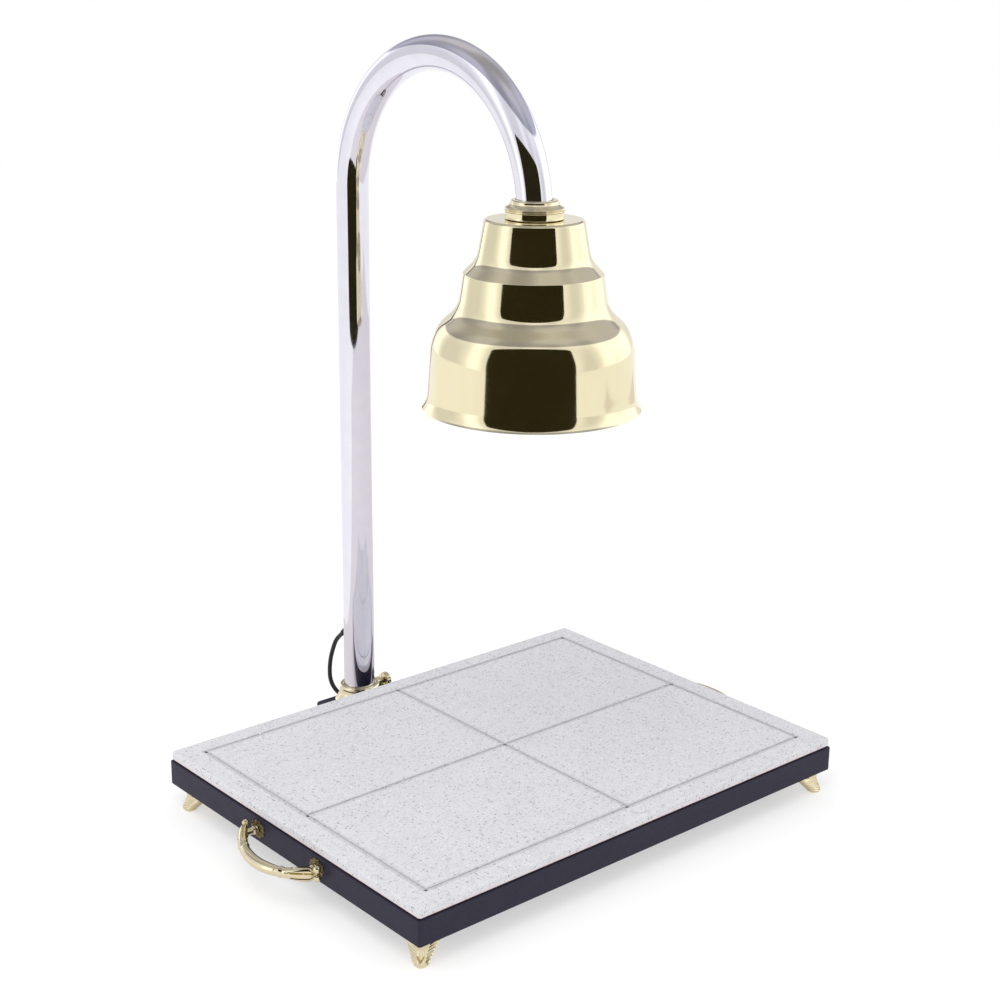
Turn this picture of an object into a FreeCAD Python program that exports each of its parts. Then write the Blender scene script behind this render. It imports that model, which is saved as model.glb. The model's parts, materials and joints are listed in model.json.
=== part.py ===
import FreeCAD, Part
import math
import os

# Heat lamp warmer: a stone board in a low black frame, with a hooked chrome post
# behind it that carries a brass shade over the middle of the board.
# Millimetres. X runs along the board, the post stands on the +Y side, +Z is up.
# Z = 0 is the surface that the feet stand on.

V = FreeCAD.Vector

# ---- driving dimensions: base -------------------------------------------------------
FRAME_X = 609.6           # frame length, 24 in
FRAME_Y = 457.2           # frame depth, 18 in
FOOT_H = 25.4             # foot height, 1 in
RAIL_H = 28.8             # height of the folded frame rails
RAIL_T = 1.6              # sheet thickness of the rails
RAIL_FLANGE = 14.0        # width of the rails' top and bottom flanges
FRAME_CORNER_R = 3.0      # rounding of the frame's upright corners
RAIL_EDGE_R = 1.4         # rounding of the folds
GASKET_T = 2.0            # rubber strip between rail and board
GASKET_W = 9.0
GASKET_INSET = 2.8        # from the frame's outer face
STONE_T = 9.5             # board thickness, 3/8 in
STONE_INSET = 1.6         # board edge to the frame's outer face
STONE_CORNER_R = 3.0
STONE_EDGE_R = 2.6        # rounding of the board's top edge
GROOVE_W = 3.2
GROOVE_D = 1.0
GROOVE_X = 274.6          # grooves' rectangle, half sizes
GROOVE_Y = 200.6
DIMPLE_R = 2.2
DIMPLE_D = 2.5
PAN_T = 1.2               # closing sheet under the board
BAR_W = 25.0              # cross bars under the board
BAR_T = 1.5
BAR_PITCH = 190.0
PAD_T = 1.5               # cork pads on the cross bars

# ---- driving dimensions: post and lamp ----------------------------------------------
TUBE_R = 19.05            # post tube, 1 1/2 in outside diameter
TUBE_WALL = 1.5
HOOK_R = 158.75           # centreline radius of the hook, 6 1/4 in
HOOK_Z = 672.4            # height of the hook's centre
POST_BEHIND = 51.7        # post axis behind the frame
PLATE_TAIL = 26.0         # bracket plate behind the post axis
PLATE_HALF_W = 52.0
PLATE_T = 4.0
PLATE_UNDER = 40.0        # bracket plate's reach under the frame
PLATE_RIB_H = 2.2         # raised top of the plate round the post holder
SHADE_LIP_Z = 473.6       # height of the shade's mouth
SHADE_WALL = 1.0
SOCKET_RUN = 0.05         # running clearance of the post in its holder

# ---- derived places -----------------------------------------------------------------
BOARD_Y = -(POST_BEHIND + PLATE_TAIL) / 2
REAR_Y = BOARD_Y + FRAME_Y / 2
FRONT_Y = BOARD_Y - FRAME_Y / 2
POST_Y = REAR_Y + POST_BEHIND
LAMP_Y = POST_Y - 2 * HOOK_R
RAIL_TOP = FOOT_H + RAIL_H
STONE_Z = RAIL_TOP + GASKET_T
STONE_TOP = STONE_Z + STONE_T
PAN_Z = FOOT_H + RAIL_T
PAN_TOP = PAN_Z + PAN_T

# The shade's outline from its top to its mouth: radius, height over the mouth, rounding.
SHADE_OUTLINE = [
    (10.2, 199.2, 0.0),
    (52.4, 199.2, 3.5),
    (60.2, 157.1, 24.0),
    (74.0, 143.0, 2.2),
    (79.7, 105.3, 32.0),
    (100.0, 87.6, 17.5),
    (107.6, 69.0, 26.0),
    (111.8, 7.3, 17.5),
    (117.0, 0.0, 0.0),
]
SHADE_TOP_Z = SHADE_LIP_Z + SHADE_OUTLINE[0][1]

# ---- lamp end stack, heights --------------------------------------------------------
NUT_H = 9.8
COLLAR_H = 9.7
NUT_R = 31.5
NUT_Z = SHADE_TOP_Z
COLLAR_Z = NUT_Z + NUT_H
TUBE_END_Z = NUT_Z + 1.4
STUD_R = 9.8
STUD_BOTTOM = SHADE_TOP_Z - 21.0
WASHER_R = 22.0
WASHER_T = 2.0
LOCK_NUT_R = 16.0
LOCK_NUT_H = 6.0
HOLDER_TOP = SHADE_TOP_Z - 16.0
HOLDER_MOUTH = SHADE_TOP_Z - 61.0
HOLDER_R = 22.0
HOLDER_CAVITY_R = 15.8
HOLDER_FLOOR = HOLDER_TOP - 6.0
SHELL_R = 13.5            # inside of the screw shell, medium base
CAP_R = 13.1
CAP_TOP = HOLDER_FLOOR - 5.6
CAP_H = 24.0
NECK_R = 12.2             # glass neck inside the cap
BULB_R = 63.5             # R40 reflector lamp, 5 in
BULB_FACE_Z = SHADE_LIP_Z + 8.0
GLASS_WALL = 0.9

# ---- mains cord ---------------------------------------------------------------------
CORD_R = 2.8
RELIEF_TILT = 38.0        # cord exit points this far below level, degrees
RELIEF_LEN = 20.0
EXIT_Z = 118.3            # exit height at the tube's rear wall
FLOOR_GAP = 0.1
CORD_FLOOR = CORD_R + FLOOR_GAP
COIL_X = 122.0
COIL_Y = 230.5
COIL_MEAN_R = 33.6
COIL_COLS = 5
COIL_ROWS = 2
# Route of the free cord from its strain relief to the coil, after the exit point.
CORD_ROUTE = [
    (0.0, 289.0, 96.0),
    (0.0, 297.6, 79.8),
    (0.0, 304.0, 63.0),
    (0.1, 306.9, 46.6),
    (0.6, 306.4, 31.6),
    (4.8, 302.6, 18.6),
    (12.9, 295.4, 8.6),
    (24.4, 286.9, 3.8),
    (38.6, 280.2, CORD_FLOOR),
    (54.5, 275.8, CORD_FLOOR),
    (71.0, 274.0, CORD_FLOOR),
    (87.0, 274.3, CORD_FLOOR),
    (102.0, 275.1, CORD_FLOOR),
    (116.0, 275.3, CORD_FLOOR),
]
# Route of the short tail from the coil's upper, outer turn to the plug.
TAIL_ROUTE = [
    (135.4, 267.3, 8.6),
    (151.5, 261.0, 9.8),
    (168.0, 253.6, 9.4),
    (184.5, 247.3, 9.8),
    (200.0, 240.8, 11.6),
]
TIE_AT = 200              # where the tie starts round the coil, degrees
TIE_ANGLE = 12
TIE_T = 1.0
TIE_GAP = 0.15
PLUG_DIR = (0.93, -0.367, 0.0)
PLUG_TAIL = 18.0
PLUG_LEN = 34.0
PLUG_W = 25.0
PLUG_H = 22.0
BLADE_PITCH = 12.7        # flat blades of the plug, centre to centre
BLADE_L = 17.5
BLADE_W = 6.35
BLADE_T = 1.5
EARTH_PIN_R = 2.4
EARTH_PIN_L = 20.0
EARTH_PIN_RISE = 8.7      # earth pin above the blades' middle

# ---- feet: height, half width, centre's distance from both frame faces, corner rounding
FOOT_SECTIONS = [
    (0.0, 6.6, 9.6, 5.4),
    (3.0, 8.2, 10.0, 6.2),
    (9.0, 9.6, 13.2, 5.8),
    (17.0, 12.4, 18.5, 4.8),
    (22.6, 15.3, 21.9, 3.2),
    (FOOT_H, 16.0, 22.6, 3.0),
]
# Each foot's further distance from the end and from the front or rear of the frame.
FOOT_SHIFTS = {
    (-1, -1): (0.0, -0.8),
    (1, -1): (6.7, -1.6),
    (-1, 1): (-1.0, 15.0),
    (1, 1): (0.0, 15.0),
}

# ---- carrying handles ---------------------------------------------------------------
HANDLE_ROD_R = 6.2
HANDLE_ARC_R = 85.58      # plan radius of the bow
HANDLE_REACH = 38.2       # bow's centreline from the frame's end, at its middle
HANDLE_DROP = 3.6         # the bow's middle hangs this much below its ends
HANDLE_Y = BOARD_Y - 6.0  # middle of each handle
HANDLE_END_Y = 65.5
HANDLE_SPREAD = 54.0      # handle posts from the handle's middle
HANDLE_Z = 41.0
HANDLE_BALL_R = 4.4       # two balls at each end of the bow
HANDLE_LEAF_R = 3.9       # leaves that part above and below towards each end
HANDLE_LEAF_FROM = 0.5    # start of the leaves, as a share of the bow's half length
HANDLE_LEAF_RISE = 4.8
HANDLE_POST_R = 4.8
HANDLE_POST_L = 17.0
ROSETTE_T = 2.6
ROSETTE_RY = 12.5
ROSETTE_RZ = 10.5
ROSETTE_CORE_R = 8.6
ROSETTE_LOBES = 10
ROSETTE_LOBE_R = 3.2

# ---- screws, bolts and their holes --------------------------------------------------
M4_R = 2.0
M4_HOLE_R = 2.1
M4_HEAD_R = 3.6
M4_HEAD_H = 1.8
M5_R = 2.25               # tapped length and shank of the 5 mm screws
M5_TAP_R = 2.3
M5_HOLE_R = 2.6
M5_HEAD_R = 4.2
M5_HEAD_H = 2.6
M5_LENGTH = 13.0
M6_R = 3.0
M6_HOLE_R = 3.2
M6_HEAD_R = 5.6
M6_HEAD_H = 3.6
M6_NUT_R = 5.8
M6_NUT_H = 5.0
M6_WASHER_R = 7.0
EDGE_SCREW_IN = 8.5       # screws through a rail's flange, from the frame's outer face
FOOT_SCREW_IN = 10.5      # foot's screw, from the faces the foot is measured from
PAN_SCREWS_X = (-200.0, 0.0, 200.0)
BRACKET_BOLTS_X = (-36.0, 36.0)
BRACKET_BOLTS_Y = (REAR_Y - EDGE_SCREW_IN, REAR_Y - 30.0)

# ---- post holder and thumbscrew -----------------------------------------------------
SOCKET_FLANGE_R = 31.0
SOCKET_COLLAR_R = 24.0
SOCKET_TOP = 50.0
SOCKET_FLOOR = 2.4
SOCKET_SCREW_R = 13.0     # pitch radius of the screws under the holder
THUMB_Z = 43.4
THUMB_BOSS_R = 6.5
THUMB_SHANK_R = 3.0
THUMB_NECK_R = 4.6
THUMB_NECK_L = 2.6
THUMB_KNOB_R = 9.8
THUMB_KNOB_X = 36.5
THUMB_KNOB_T = 7.5
THUMB_LOBES = 8
THUMB_FLUTE_R = 2.0
PAD_DISC_R = 2.6
PAD_DISC_T = 1.6
PAD_GAP = 0.35            # between the post and the thumbscrew's soft tip
TUBE_BOTTOM = FOOT_H + SOCKET_FLOOR + 0.1
RELIEF_HOLE_R = 5.2

CHECK_LENGTHS = []


# ---- small shape helpers ------------------------------------------------------------
def save(name, shape):
    shape.exportStep("parts/" + name + ".step")


def block(x0, x1, y0, y1, z0, z1):
    return Part.makeBox(x1 - x0, y1 - y0, z1 - z0, V(x0, y0, z0))


def rod(r, length, base, axis=(0, 0, 1)):
    return Part.makeCylinder(r, length, V(*base), V(*axis))


def cone(r0, r1, length, base, axis=(0, 0, 1)):
    return Part.makeCone(r0, r1, length, V(*base), V(*axis))


def ball(r, centre):
    return Part.makeSphere(r, V(*centre))


def fuse(shapes):
    out = shapes[0]
    for shape in shapes[1:]:
        out = out.fuse(shape)
    return out.removeSplitter()


def cut(shape, tools):
    for tool in tools:
        shape = shape.cut(tool)
    return shape


def rounded_prism(hx, hy, cy, z0, z1, r):
    body = block(-hx, hx, cy - hy, cy + hy, z0, z1)
    upright = [e for e in body.Edges if abs(e.Vertexes[0].Z - e.Vertexes[1].Z) > 1e-6]
    return body.makeFillet(r, upright)


def edges_at(shape, z):
    return [e for e in shape.Edges if all(abs(v.Z - z) < 1e-6 for v in e.Vertexes)]


def spin(points, cx, cy, z0=0.0):
    """Solid of revolution about the upright line through (cx, cy): points are radius, height."""
    wire = Part.makePolygon([V(cx + r, cy, z0 + z) for r, z in points + [points[0]]])
    return Part.Face(wire).revolve(V(cx, cy, 0), V(0, 0, 1), 360)


def corner_arc(a, b, c, r):
    """Start, middle and end of the arc of radius r that rounds corner b between a and c."""
    u = (a - b).normalize()
    w = (c - b).normalize()
    half = u.getAngle(w) / 2
    reach = r / math.tan(half)
    axis = (u + w).normalize()
    centre = b + axis * (r / math.sin(half))
    return b + u * reach, centre - axis * r, b + w * reach


def rounded_edges(points, radii):
    """Straight edges through points, with each inner corner rounded by its radius."""
    edges = []
    start = points[0]
    for i in range(1, len(points) - 1):
        p, m, q = corner_arc(V(points[i - 1]), V(points[i]), V(points[i + 1]), radii[i])
        edges.append(Part.LineSegment(start, p).toShape())
        edges.append(Part.Arc(p, m, q).toShape())
        start = q
    edges.append(Part.LineSegment(start, points[-1]).toShape())
    return edges


def cord_tube(points, name):
    """Tube of the cord's diameter along straight runs joined by tangent arcs."""
    points = [V(*p) for p in points]
    runs = [(points[i + 1] - points[i]).Length for i in range(len(points) - 1)]
    radii = [0.0] * len(points)
    for i in range(1, len(points) - 1):
        turn = (points[i] - points[i - 1]).getAngle(points[i + 1] - points[i])
        radii[i] = 0.45 * min(runs[i - 1], runs[i]) / math.tan(turn / 2)
    path = Part.Wire(rounded_edges(points, radii))
    start = points[1] - points[0]
    ring = Part.Wire(Part.makeCircle(CORD_R, points[0], start))
    tube = path.makePipeShell([ring], True, True)
    ideal = math.pi * CORD_R ** 2 * path.Length
    print(name, "bend radii", [round(r, 1) for r in radii[1:-1]], "length", round(path.Length, 1))
    print(name, "volume ratio", round(tube.Volume / ideal, 4), "valid", tube.isValid())
    CHECK_LENGTHS.append(path.Length)
    return tube


# ---- stone board --------------------------------------------------------------------
def stone_board():
    hx = FRAME_X / 2 - STONE_INSET
    hy = FRAME_Y / 2 - STONE_INSET
    board = rounded_prism(hx, hy, BOARD_Y, STONE_Z, STONE_TOP, STONE_CORNER_R)
    board = board.makeFillet(STONE_EDGE_R, edges_at(board, STONE_TOP))
    half = GROOVE_W / 2
    z0 = STONE_TOP - GROOVE_D
    z1 = STONE_TOP + 1.0
    grooves = []
    for y in (-GROOVE_Y, 0.0, GROOVE_Y):
        y += BOARD_Y
        grooves.append(block(-GROOVE_X - half, GROOVE_X + half, y - half, y + half, z0, z1))
    for x in (-GROOVE_X, 0.0, GROOVE_X):
        y0 = BOARD_Y - GROOVE_Y - half
        y1 = BOARD_Y + GROOVE_Y + half
        grooves.append(block(x - half, x + half, y0, y1, z0, z1))
    for x in (-GROOVE_X, 0.0, GROOVE_X):
        for y in (-GROOVE_Y, 0.0, GROOVE_Y):
            grooves.append(rod(DIMPLE_R, DIMPLE_D + 1.0, (x, BOARD_Y + y, STONE_TOP - DIMPLE_D)))
    return board.cut(fuse(grooves))


# ---- frame --------------------------------------------------------------------------
def frame_ring():
    """Folded C-section ring, open to the inside, before it is mitred into rails."""
    hx = FRAME_X / 2
    hy = FRAME_Y / 2
    ring = rounded_prism(hx, hy, BOARD_Y, FOOT_H, RAIL_TOP, FRAME_CORNER_R)
    outer = edges_at(ring, RAIL_TOP) + edges_at(ring, FOOT_H)
    ring = ring.makeFillet(RAIL_EDGE_R, outer)
    inside = rounded_prism(hx - RAIL_T, hy - RAIL_T, BOARD_Y,
                           FOOT_H + RAIL_T, RAIL_TOP - RAIL_T, FRAME_CORNER_R - RAIL_T)
    middle = block(RAIL_FLANGE - hx, hx - RAIL_FLANGE, BOARD_Y - hy + RAIL_FLANGE,
                   BOARD_Y + hy - RAIL_FLANGE, FOOT_H - 1, RAIL_TOP + 1)
    return cut(ring, [inside, middle])


def mitre_wedge(side):
    """Prism that keeps one rail of the ring: the cuts run at 45 degrees from each corner."""
    hx = FRAME_X / 2
    hy = FRAME_Y / 2
    reach = 60.0
    sx, sy = side
    if sx:
        pts = [(sx * hx, hy), (sx * (hx - reach), hy - reach),
               (sx * (hx - reach), reach - hy), (sx * hx, -hy)]
    else:
        pts = [(hx, sy * hy), (hx - reach, sy * (hy - reach)),
               (reach - hx, sy * (hy - reach)), (-hx, sy * hy)]
    corners = [V(x, y + BOARD_Y, FOOT_H - 1) for x, y in pts]
    face = Part.Face(Part.makePolygon(corners + [corners[0]]))
    return face.extrude(V(0, 0, RAIL_H + 2))


def foot_places():
    for sx in (-1, 1):
        for sy in (-1, 1):
            dx, dy = FOOT_SHIFTS[sx, sy]
            yield sx, sy, sx * (FRAME_X / 2 - dx), BOARD_Y + sy * (FRAME_Y / 2 - dy)


def frame_holes():
    """Clearance holes through the rails for every screw that passes them."""
    low = FOOT_H - 1.0
    holes = []
    for sx, sy, x, y in foot_places():
        holes.append(rod(M5_HOLE_R, RAIL_T + 2, (x - sx * FOOT_SCREW_IN, y - sy * FOOT_SCREW_IN, low)))
    for x, y in pan_screw_places():
        holes.append(rod(M4_HOLE_R, RAIL_T + 2, (x, y, low)))
    for x in BRACKET_BOLTS_X:
        holes.append(rod(M6_HOLE_R, RAIL_T + 2, (x, BRACKET_BOLTS_Y[0], low)))
    for y in (-HANDLE_SPREAD, HANDLE_SPREAD):
        length = FRAME_X + 4
        holes.append(rod(M5_HOLE_R, length, (-length / 2, HANDLE_Y + y, HANDLE_Z), (1, 0, 0)))
    return holes


def frame_rails():
    ring = cut(frame_ring(), frame_holes())
    sides = {"front": (0, -1), "rear": (0, 1), "left": (-1, 0), "right": (1, 0)}
    return {name: ring.common(mitre_wedge(side)) for name, side in sides.items()}


def gasket_strips():
    x = FRAME_X / 2 - GASKET_INSET
    y = FRAME_Y / 2 - GASKET_INSET
    z = (RAIL_TOP, STONE_Z)
    inner = y - GASKET_W - 0.2
    return {
        "front": block(-x, x, BOARD_Y - y, BOARD_Y - y + GASKET_W, *z),
        "rear": block(-x, x, BOARD_Y + y - GASKET_W, BOARD_Y + y, *z),
        "left": block(-x, -x + GASKET_W, BOARD_Y - inner, BOARD_Y + inner, *z),
        "right": block(x - GASKET_W, x, BOARD_Y - inner, BOARD_Y + inner, *z),
    }


def pan_screw_places():
    for x in PAN_SCREWS_X:
        for y in (FRONT_Y + EDGE_SCREW_IN, REAR_Y - EDGE_SCREW_IN):
            if y < 0 or abs(x) > PLATE_HALF_W:
                yield x, y


def bottom_pan():
    gap = RAIL_T + 0.8
    pan = block(gap - FRAME_X / 2, FRAME_X / 2 - gap, FRONT_Y + gap, REAR_Y - gap, PAN_Z, PAN_TOP)
    low = PAN_Z - 1
    holes = [rod(M4_HOLE_R, PAN_T + 2, (x, y, low)) for x, y in pan_screw_places()]
    for sx, sy, x, y in foot_places():
        holes.append(rod(M5_HOLE_R, PAN_T + 2, (x - sx * FOOT_SCREW_IN, y - sy * FOOT_SCREW_IN, low)))
    for x in BRACKET_BOLTS_X:
        for y in BRACKET_BOLTS_Y:
            holes.append(rod(M6_HOLE_R, PAN_T + 2, (x, y, low)))
    return cut(pan, holes)


def cross_bar(x):
    """Square-section support under the board, welded to the pan."""
    length = FRAME_Y - 2 * RAIL_FLANGE - 40
    y0 = BOARD_Y - length / 2
    top = STONE_Z - PAD_T
    outer = block(x - BAR_W / 2, x + BAR_W / 2, y0, y0 + length, PAN_TOP, top)
    inner = block(x - BAR_W / 2 + BAR_T, x + BAR_W / 2 - BAR_T, y0 - 1, y0 + length + 1,
                  PAN_TOP + BAR_T, top - BAR_T)
    pad = block(x - BAR_W / 2 + 2, x + BAR_W / 2 - 2, y0 + 4, y0 + length - 4, top, STONE_Z)
    return outer.cut(inner), pad


# ---- feet ---------------------------------------------------------------------------
def rounded_square(cx, cy, half, r, z):
    body = block(cx - half, cx + half, cy - half, cy + half, z, z + 1)
    upright = [e for e in body.Edges if abs(e.Vertexes[0].Z - e.Vertexes[1].Z) > 1e-6]
    body = body.makeFillet(r, upright)
    face = [f for f in body.Faces if abs(f.CenterOfMass.z - z) < 1e-6][0]
    return face.OuterWire


def foot(sx, sy, x, y):
    """Cast corner foot: wide under the frame, drawn in to a blunt toe."""
    wires = []
    for z, half, inset, r in FOOT_SECTIONS:
        wires.append(rounded_square(x - sx * inset, y - sy * inset, half, r, z))
    body = Part.makeLoft(wires, True, True)
    hole = rod(M5_TAP_R, M5_LENGTH, (x - sx * FOOT_SCREW_IN, y - sy * FOOT_SCREW_IN, FOOT_H - 12.0))
    return body.cut(hole)


def foot_screws():
    screws = []
    for sx, sy, x, y in foot_places():
        px = x - sx * FOOT_SCREW_IN
        py = y - sy * FOOT_SCREW_IN
        shank = rod(M5_R, M5_LENGTH, (px, py, PAN_TOP - M5_LENGTH))
        screws.append(shank.fuse(rod(M5_HEAD_R, M5_HEAD_H, (px, py, PAN_TOP))))
    return Part.makeCompound(screws)


def pan_screws():
    screws = []
    for x, y in pan_screw_places():
        head = rod(M4_HEAD_R, M4_HEAD_H, (x, y, FOOT_H - M4_HEAD_H))
        screws.append(head.fuse(rod(M4_R, 6.0, (x, y, FOOT_H))))
    return Part.makeCompound(screws)


# ---- carrying handles ---------------------------------------------------------------
def handle_bow(side):
    """Bow of the handle, an arc in plan, with a ball at each end."""
    x_mid = side * (FRAME_X / 2 + HANDLE_REACH)
    sag = HANDLE_ARC_R - math.sqrt(HANDLE_ARC_R ** 2 - HANDLE_END_Y ** 2)
    x_end = x_mid - side * sag
    ends = [V(x_end, HANDLE_Y + s * HANDLE_END_Y, HANDLE_Z) for s in (-1, 1)]
    arc = Part.Arc(ends[0], V(x_mid, HANDLE_Y, HANDLE_Z - HANDLE_DROP), ends[1])
    return [round_pipe(arc, HANDLE_ROD_R)] + handle_leaves(side)


def round_pipe(arc, r):
    path = Part.Wire(arc.toShape())
    ring = Part.Wire(Part.makeCircle(r, arc.StartPoint, arc.tangent(arc.FirstParameter)[0]))
    return path.makePipeShell([ring], True, True)


def bow_place(side, share, rise):
    """Point over or under the bow, at a share of its half length from its middle."""
    y = share * HANDLE_END_Y
    reach = HANDLE_REACH - HANDLE_ARC_R + math.sqrt(HANDLE_ARC_R ** 2 - y ** 2)
    z = HANDLE_Z - HANDLE_DROP * (1 - share ** 2) + rise
    return V(side * (FRAME_X / 2 + reach), HANDLE_Y + y, z)


def handle_leaves(side):
    """Two leaves at each end of the bow, each ending in a ball."""
    leaves = []
    for s in (-1, 1):
        for up in (-1, 1):
            start = bow_place(side, s * HANDLE_LEAF_FROM, up * 0.9)
            middle = bow_place(side, s * (1 + HANDLE_LEAF_FROM) / 2, up * HANDLE_LEAF_RISE * 0.62)
            end = bow_place(side, s, up * HANDLE_LEAF_RISE)
            leaves.append(round_pipe(Part.Arc(start, middle, end), HANDLE_LEAF_R))
            leaves.append(ball(HANDLE_BALL_R, tuple(end)))
    return leaves


def handle(side):
    parts = handle_bow(side)
    face = side * (FRAME_X / 2 + ROSETTE_T)
    for s in (-1, 1):
        base = (face, HANDLE_Y + s * HANDLE_SPREAD, HANDLE_Z)
        parts.append(rod(HANDLE_POST_R, HANDLE_POST_L, base, (side, 0, 0)))
        parts.append(ball(HANDLE_POST_R, (face + side * HANDLE_POST_L, base[1], HANDLE_Z)))
    body = fuse(parts)
    for s in (-1, 1):
        base = (face - side, HANDLE_Y + s * HANDLE_SPREAD, HANDLE_Z)
        body = body.cut(rod(M5_TAP_R, M5_LENGTH - 1.0, base, (side, 0, 0)))
    return body


def rosette(side, s):
    """Oval boss with a scalloped rim between the handle's post and the frame."""
    x0 = side * FRAME_X / 2
    y = HANDLE_Y + s * HANDLE_SPREAD
    ry = ROSETTE_RY - ROSETTE_LOBE_R
    rz = ROSETTE_RZ - ROSETTE_LOBE_R
    lobes = []
    for i in range(ROSETTE_LOBES):
        a = 2 * math.pi * i / ROSETTE_LOBES
        centre = (x0, y + ry * math.cos(a), HANDLE_Z + rz * math.sin(a))
        lobes.append(rod(ROSETTE_LOBE_R, ROSETTE_T, centre, (side, 0, 0)))
    core = rod(ROSETTE_CORE_R, ROSETTE_T, (x0, y, HANDLE_Z), (side, 0, 0))
    hole = rod(M5_HOLE_R, ROSETTE_T + 2, (x0 - side, y, HANDLE_Z), (side, 0, 0))
    return fuse([core] + lobes).cut(hole)


def handle_screws():
    screws = []
    for side in (-1, 1):
        seat = side * (FRAME_X / 2 - RAIL_T)
        for s in (-1, 1):
            y = HANDLE_Y + s * HANDLE_SPREAD
            shank = rod(M5_R, M5_LENGTH, (seat, y, HANDLE_Z), (side, 0, 0))
            head = rod(M5_HEAD_R, M5_HEAD_H, (seat, y, HANDLE_Z), (-side, 0, 0))
            screws.append(shank.fuse(head))
    return Part.makeCompound(screws)


# ---- bracket and post holder --------------------------------------------------------
def plate_blank(y0, z0, z1):
    """Flat piece as wide as the bracket, with its rear corners rounded."""
    blank = block(-PLATE_HALF_W, PLATE_HALF_W, y0, POST_Y + PLATE_TAIL, z0, z1)
    corners = [e for e in blank.Edges
               if abs(e.Vertexes[0].Z - e.Vertexes[1].Z) > 1e-6 and e.Vertexes[0].Y > POST_Y]
    return blank.makeFillet(9.0, corners)


def post_bracket():
    """Flat steel tongue bolted under the frame, which carries the post."""
    z0 = FOOT_H - PLATE_T
    plate = plate_blank(REAR_Y - PLATE_UNDER, z0, FOOT_H)
    top = plate_blank(REAR_Y + 1.5, FOOT_H - 1.0, FOOT_H + PLATE_RIB_H)
    recess = rod(SOCKET_FLANGE_R + 1.0, 9.0, (0, POST_Y, FOOT_H - 2))
    plate = plate.fuse(top.cut(recess))
    holes = [rod(M6_HOLE_R, PLATE_T + 2, (x, y, z0 - 1)) for x in BRACKET_BOLTS_X for y in BRACKET_BOLTS_Y]
    for x, y in socket_screw_places():
        holes.append(rod(M5_TAP_R, PLATE_T + 2, (x, y, z0 - 1)))
        holes.append(cone(4.8, 2.3, 2.5, (x, y, z0)))
    return cut(plate, holes).removeSplitter()


def socket_screw_places():
    for i in range(3):
        a = math.radians(90 + 120 * i)
        yield SOCKET_SCREW_R * math.cos(a), POST_Y + SOCKET_SCREW_R * math.sin(a)


def socket_screws():
    """Countersunk screws from under the plate into the holder's floor."""
    z0 = FOOT_H - PLATE_T
    screws = []
    for x, y in socket_screw_places():
        head = cone(4.6, 2.2, 2.4, (x, y, z0 + 0.1))
        screws.append(head.fuse(rod(2.2, PLATE_T + SOCKET_FLOOR - 0.7, (x, y, z0 + 0.1))))
    return Part.makeCompound(screws)


def bracket_bolts():
    bolts = []
    z0 = FOOT_H - PLATE_T
    for x in BRACKET_BOLTS_X:
        for y in BRACKET_BOLTS_Y:
            head = rod(M6_HEAD_R, M6_HEAD_H, (x, y, z0 - M6_HEAD_H))
            bolts.append(head.fuse(rod(M6_R, PLATE_T + 9.5, (x, y, z0))))
    return Part.makeCompound(bolts)


def bracket_nuts():
    nuts = []
    for x in BRACKET_BOLTS_X:
        for y in BRACKET_BOLTS_Y:
            thread = rod(M6_R, M6_NUT_H + 2, (x, y, PAN_TOP - 1))
            nuts.append(hexagon(M6_NUT_R, M6_NUT_H, x, y, PAN_TOP).cut(thread))
    return Part.makeCompound(nuts)


def bracket_spacers():
    """Washers that fill the gap between the plate and the pan at the inner bolts."""
    rings = []
    for x in BRACKET_BOLTS_X:
        y = BRACKET_BOLTS_Y[1]
        hole = rod(M6_HOLE_R, RAIL_T + 2, (x, y, FOOT_H - 1))
        rings.append(rod(M6_WASHER_R, RAIL_T, (x, y, FOOT_H)).cut(hole))
    return Part.makeCompound(rings)


def hexagon(r, h, x, y, z):
    pts = [V(x + r * math.cos(math.pi * i / 3), y + r * math.sin(math.pi * i / 3), z) for i in range(7)]
    return Part.Face(Part.makePolygon(pts)).extrude(V(0, 0, h))


def post_socket():
    """Cast flanged cup that the post stands in, with a boss for the thumbscrew."""
    bore = TUBE_R + SOCKET_RUN
    outline = [(0.0, 0.0), (SOCKET_FLANGE_R, 0.0), (SOCKET_FLANGE_R, 4.0), (SOCKET_FLANGE_R - 1.2, 6.0),
               (SOCKET_COLLAR_R + 3.4, 9.6), (SOCKET_COLLAR_R + 1.4, 14.0), (SOCKET_COLLAR_R + 0.4, 19.0),
               (SOCKET_COLLAR_R + 0.6, 23.0), (SOCKET_COLLAR_R, SOCKET_TOP - FOOT_H),
               (bore + 1.4, SOCKET_TOP - FOOT_H), (bore, SOCKET_TOP - FOOT_H - 1.4),
               (bore, SOCKET_FLOOR), (0.0, SOCKET_FLOOR)]
    cup = spin(outline, 0.0, POST_Y, FOOT_H)
    boss = rod(THUMB_BOSS_R, 8.5, (22.0, POST_Y, THUMB_Z), (1, 0, 0))
    body = cup.fuse(boss)
    hole = rod(THUMB_SHANK_R + 0.05, 16.0, (17.0, POST_Y, THUMB_Z), (1, 0, 0))
    holes = [hole]
    for x, y in socket_screw_places():
        holes.append(rod(2.25, SOCKET_FLOOR + 2, (x, y, FOOT_H - 1)))
    return cut(body, holes).removeSplitter()


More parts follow.
